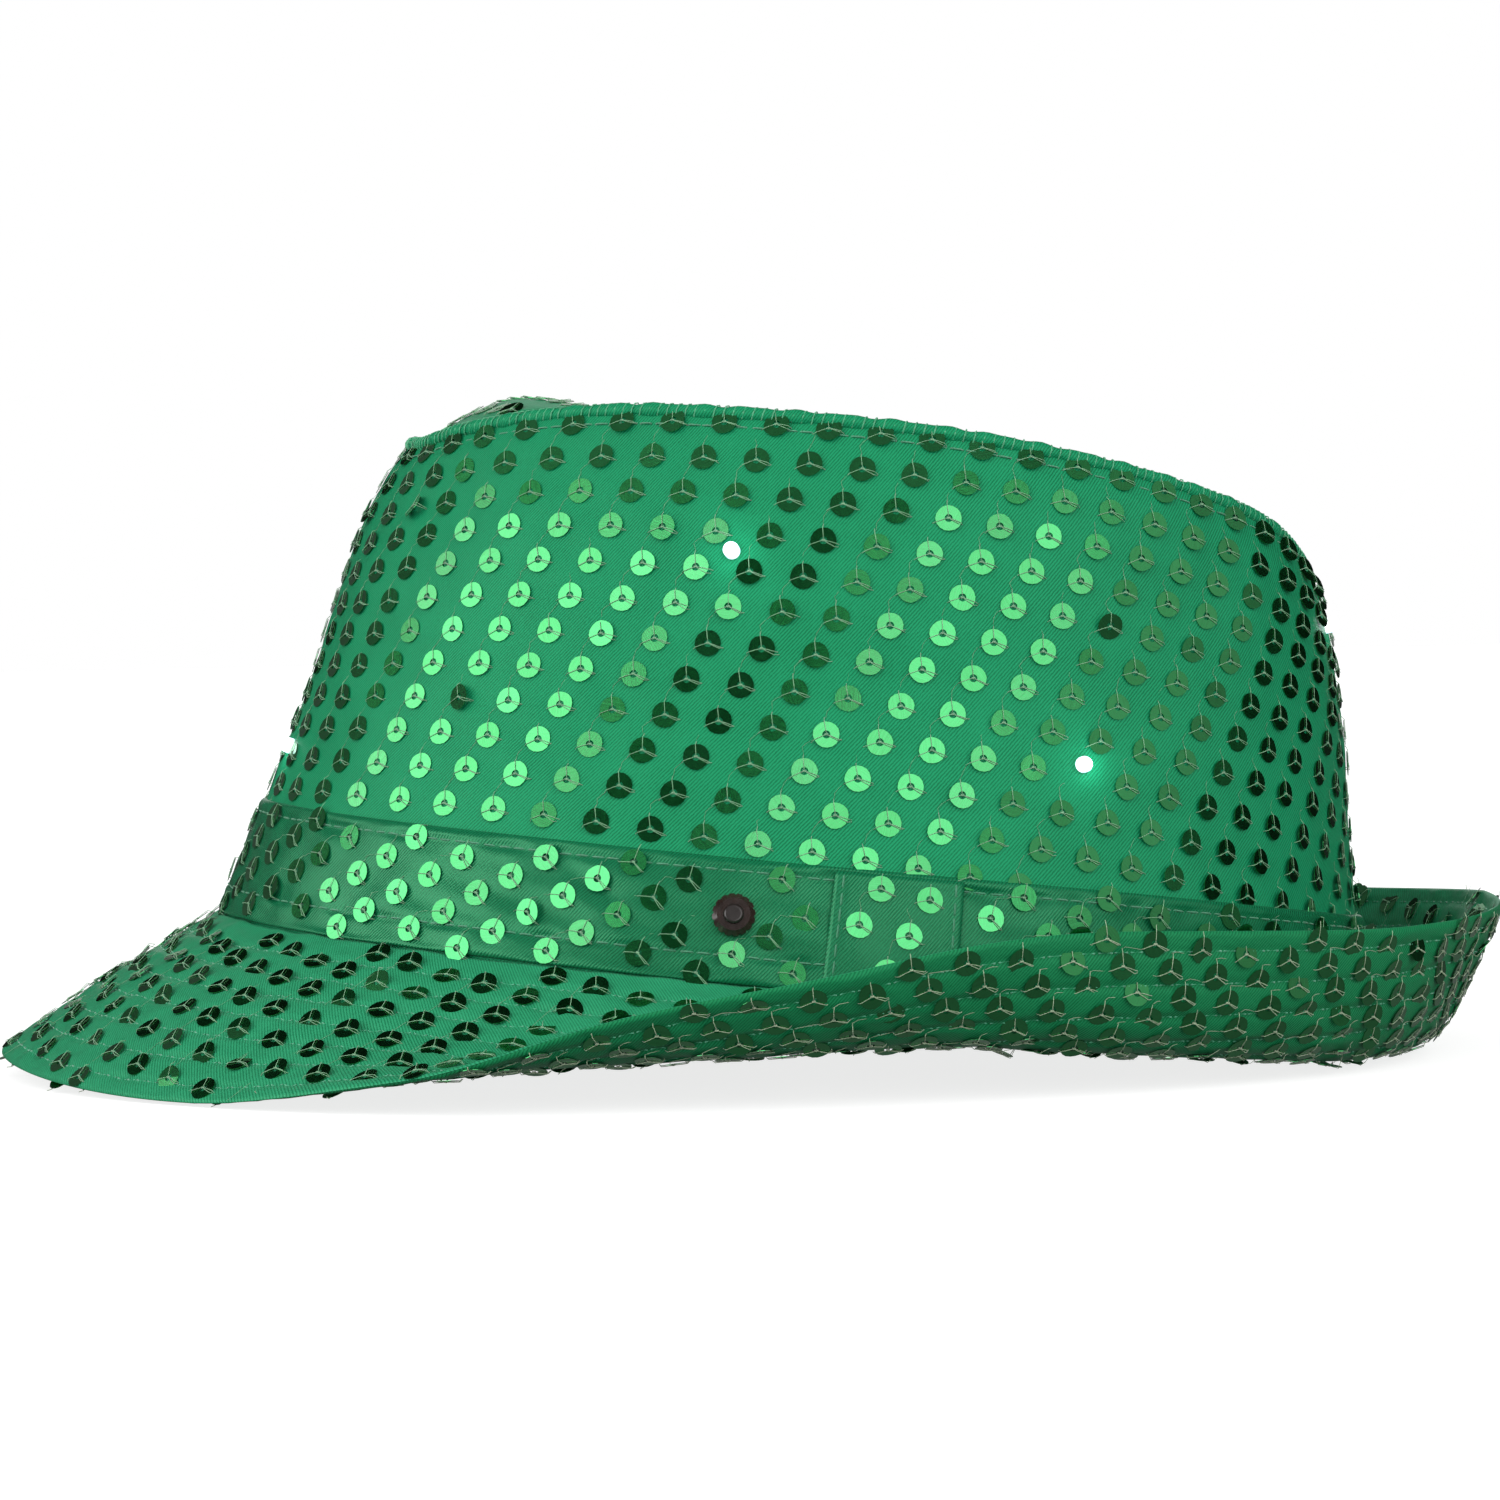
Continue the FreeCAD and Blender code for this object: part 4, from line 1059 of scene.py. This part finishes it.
def dress_parts():
    """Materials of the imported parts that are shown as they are."""
    looks = {
        "buckram": moulded("buckram_weave", (0.72, 0.70, 0.62), 0.85, 700.0),
        "wire_pvc": moulded("wire_pvc", (0.80, 0.80, 0.78), 0.4),
        "case_abs": moulded("case_abs", (0.020, 0.020, 0.021), 0.45, 1500.0),
        "bezel_plastic": smoky_plastic(),
        "button_black": moulded("button_black", (0.018, 0.014, 0.013), 0.25, 500.0, coat=0.4),
        "board_fr4": moulded("board_fr4", (0.010, 0.110, 0.035), 0.3, 900.0, coat=0.5),
        "chip_epoxy": moulded("chip_epoxy", (0.02, 0.02, 0.02), 0.55),
        "switch_grey": moulded("switch_steel", (0.55, 0.55, 0.55), 0.3, metallic=1.0),
        "cell_steel": moulded("cell_steel", (0.62, 0.62, 0.60), 0.25, 1200.0, metallic=1.0),
        "contact_steel": moulded("contact_steel", (0.70, 0.66, 0.58), 0.3, metallic=1.0),
        "led_epoxy": lit_epoxy(),
        "green_satin": SATIN, "green_satin_band": SATIN_BAND_PAINTED_SHADE, "green_thread": SATIN,
        "sweatband_satin": TAPE, "lining_net": LINING,
    }
    slots = {s["node"]: s["material_slot"] for s in frame["record"]["subparts"]}
    for node, obj in frame["nodes"].items():
        for slot in obj.material_slots:
            slot.material = looks[slots[node]]
        if not obj.material_slots:
            obj.data.materials.append(looks[slots[node]])


# ---------------- stage, camera and light

CAMERA_ANGLE = math.radians(86.7)
CAMERA_RISE = math.radians(1.38)
CAMERA_ROLL = math.radians(-1.025)
CAMERA_DISTANCE = 1.0
CAMERA_AIM = Vector((0.0, 0.0001, 0.0596))
FOCAL_LENGTH = 123.4
LED_GLOW = 0.0014


def heading(angle, rise):
    """Way from the hat to a place at an angle from its front and at a rise, both in radians."""
    return Vector((math.sin(angle) * math.cos(rise), -math.cos(angle) * math.cos(rise), math.sin(rise)))


def make_camera():
    back = heading(CAMERA_ANGLE, CAMERA_RISE)
    right = Vector((0, 0, 1)).cross(back).normalized()
    up = back.cross(right)
    c, s = math.cos(CAMERA_ROLL), math.sin(CAMERA_ROLL)
    right, up = right * c + up * s, up * c - right * s
    data = bpy.data.cameras.new("camera")
    data.lens = FOCAL_LENGTH
    data.sensor_width = 36.0
    data.clip_start = 0.01
    camera = bpy.data.objects.new("camera", data)
    matrix = Matrix((right, up, back)).transposed().to_4x4()
    matrix.translation = CAMERA_AIM + back * CAMERA_DISTANCE
    camera.matrix_world = matrix
    bpy.context.scene.collection.objects.link(camera)
    bpy.context.scene.camera = camera


def make_stage():
    """Pale floor that gives off light, and that the hat's gloss and soft light don't see."""
    look = Surface("floor")
    tone = look.ramp(look.noise(look.part_place(), 3.0), (0.30, 0.30, 0.30), (0.33, 0.33, 0.33))
    look.fill(look.tree.nodes["Principled BSDF"], Base_Color=tone, Roughness=0.9, Specular_IOR_Level=0.1,
              Emission_Color=(1, 1, 1, 1), Emission_Strength=0.80)
    size = 12.0
    corners = [(-size, -size, 0), (size, -size, 0), (size, size, 0), (-size, size, 0)]
    floor = new_piece("floor", corners, [(0, 1, 2, 3)], look.material)
    floor.visible_glossy = False
    floor.visible_diffuse = False


# Softboxes, seen by glossy rays: from and to heading, from and to height, power and softness of edge
SOFTBOXES = (
    (-8, 55, -2, 33, 2.7, 4.0), (-60, -8, -2, 34, 0.10, 4.0), (88, 122, -2, 37, 2.1, 4.0),
    (122, 166, -4, 42, 0.50, 8.0), (-20, 150, 36, 60, 0.14, 4.0), (-112, -80, 0, 40, 0.6, 4.0),
)
# Wide lights, seen by diffuse rays: heading, height and power
GLOWS = ((35.0, 22.0, 2.6), (135.0, 20.0, 2.2))
GLOW_REACH = (60.0, 10.0)


def make_world():
    """White backdrop; shiny things see softboxes with dark between them, and matt ones wide lights."""
    world = bpy.data.worlds.new("studio")
    bpy.context.scene.world = world
    world.use_nodes = True
    world.node_tree.nodes.clear()
    sky = Look(world.node_tree)
    way = sky.add("TexCoord").outputs["Generated"]
    parts = sky.add("SeparateXYZ", way).outputs
    turn = sky.math("ARCTAN2", parts["X"], sky.math("MULTIPLY", parts["Y"], -1.0))
    rise = sky.math("ARCSINE", parts["Z"])

    def step(value, start, end):
        return sky.span(value, interpolation_type="SMOOTHSTEP", From_Min=start, From_Max=end)

    def edge(value, start, end):
        return step(value, math.radians(start), math.radians(end))

    def times(a, b):
        return sky.math("MULTIPLY", a, b)

    def plus(a, b):
        return sky.math("ADD", a, b)

    glossy = plus(times(edge(rise, 2, -14), 0.13), 0.006)
    for west, east, low, high, power, soft in SOFTBOXES:
        sides = times(edge(turn, west - soft, west + soft), edge(turn, east + soft, east - soft))
        ends = times(edge(rise, low - soft, low + soft), edge(rise, high + soft, high - soft))
        glossy = plus(glossy, times(times(sides, ends), power))

    diffuse = plus(times(edge(rise, -25, 25), 0.30), 0.16)
    for angle, height, power in GLOWS:
        middle = heading(math.radians(angle), math.radians(height))
        along = sky.add("VectorMath", way, middle, operation="DOT_PRODUCT").outputs["Value"]
        start, end = (math.cos(math.radians(reach)) for reach in GLOW_REACH)
        diffuse = plus(diffuse, times(step(along, start, end), power))

    def background(strength):
        return sky.add("Background", Strength=strength, Color=(1, 1, 1, 1)).outputs[0]

    def mix(factor, a, b):
        return sky.add("MixShader", factor, a, b).outputs[0]

    path = sky.add("LightPath").outputs
    shade = mix(path["Is Glossy Ray"], background(diffuse), background(glossy))
    shade = mix(path["Is Camera Ray"], shade, background(1.0))
    sky.add("OutputWorld", Surface=shade)


def make_led_glow():
    """Small lamp just outside each LED lens, for the halo on the cloth."""
    for i, node in enumerate(LED_NODES, 1):
        middle = middle_of(node)
        away = unit(middle - np.array([0.0, 0.009, middle[2] * 0.86]))
        data = bpy.data.lights.new("led_glow_%d" % i, "POINT")
        data.energy = LED_GLOW
        data.color = (0.75, 0.90, 1.0)
        data.shadow_soft_size = 0.0012
        lamp = bpy.data.objects.new("led_glow_%d" % i, data)
        lamp.location = middle + away * 0.0045
        lamp.visible_camera = False
        lamp.visible_glossy = False
        bpy.context.scene.collection.objects.link(lamp)


make_camera()
make_world()
make_stage()
dress_parts()
make_crown()
make_tip()
make_welt()
make_band()
make_tab()
make_brim()
make_inside()
make_led_glow()
bpy.context.scene.view_settings.view_transform = "Standard"
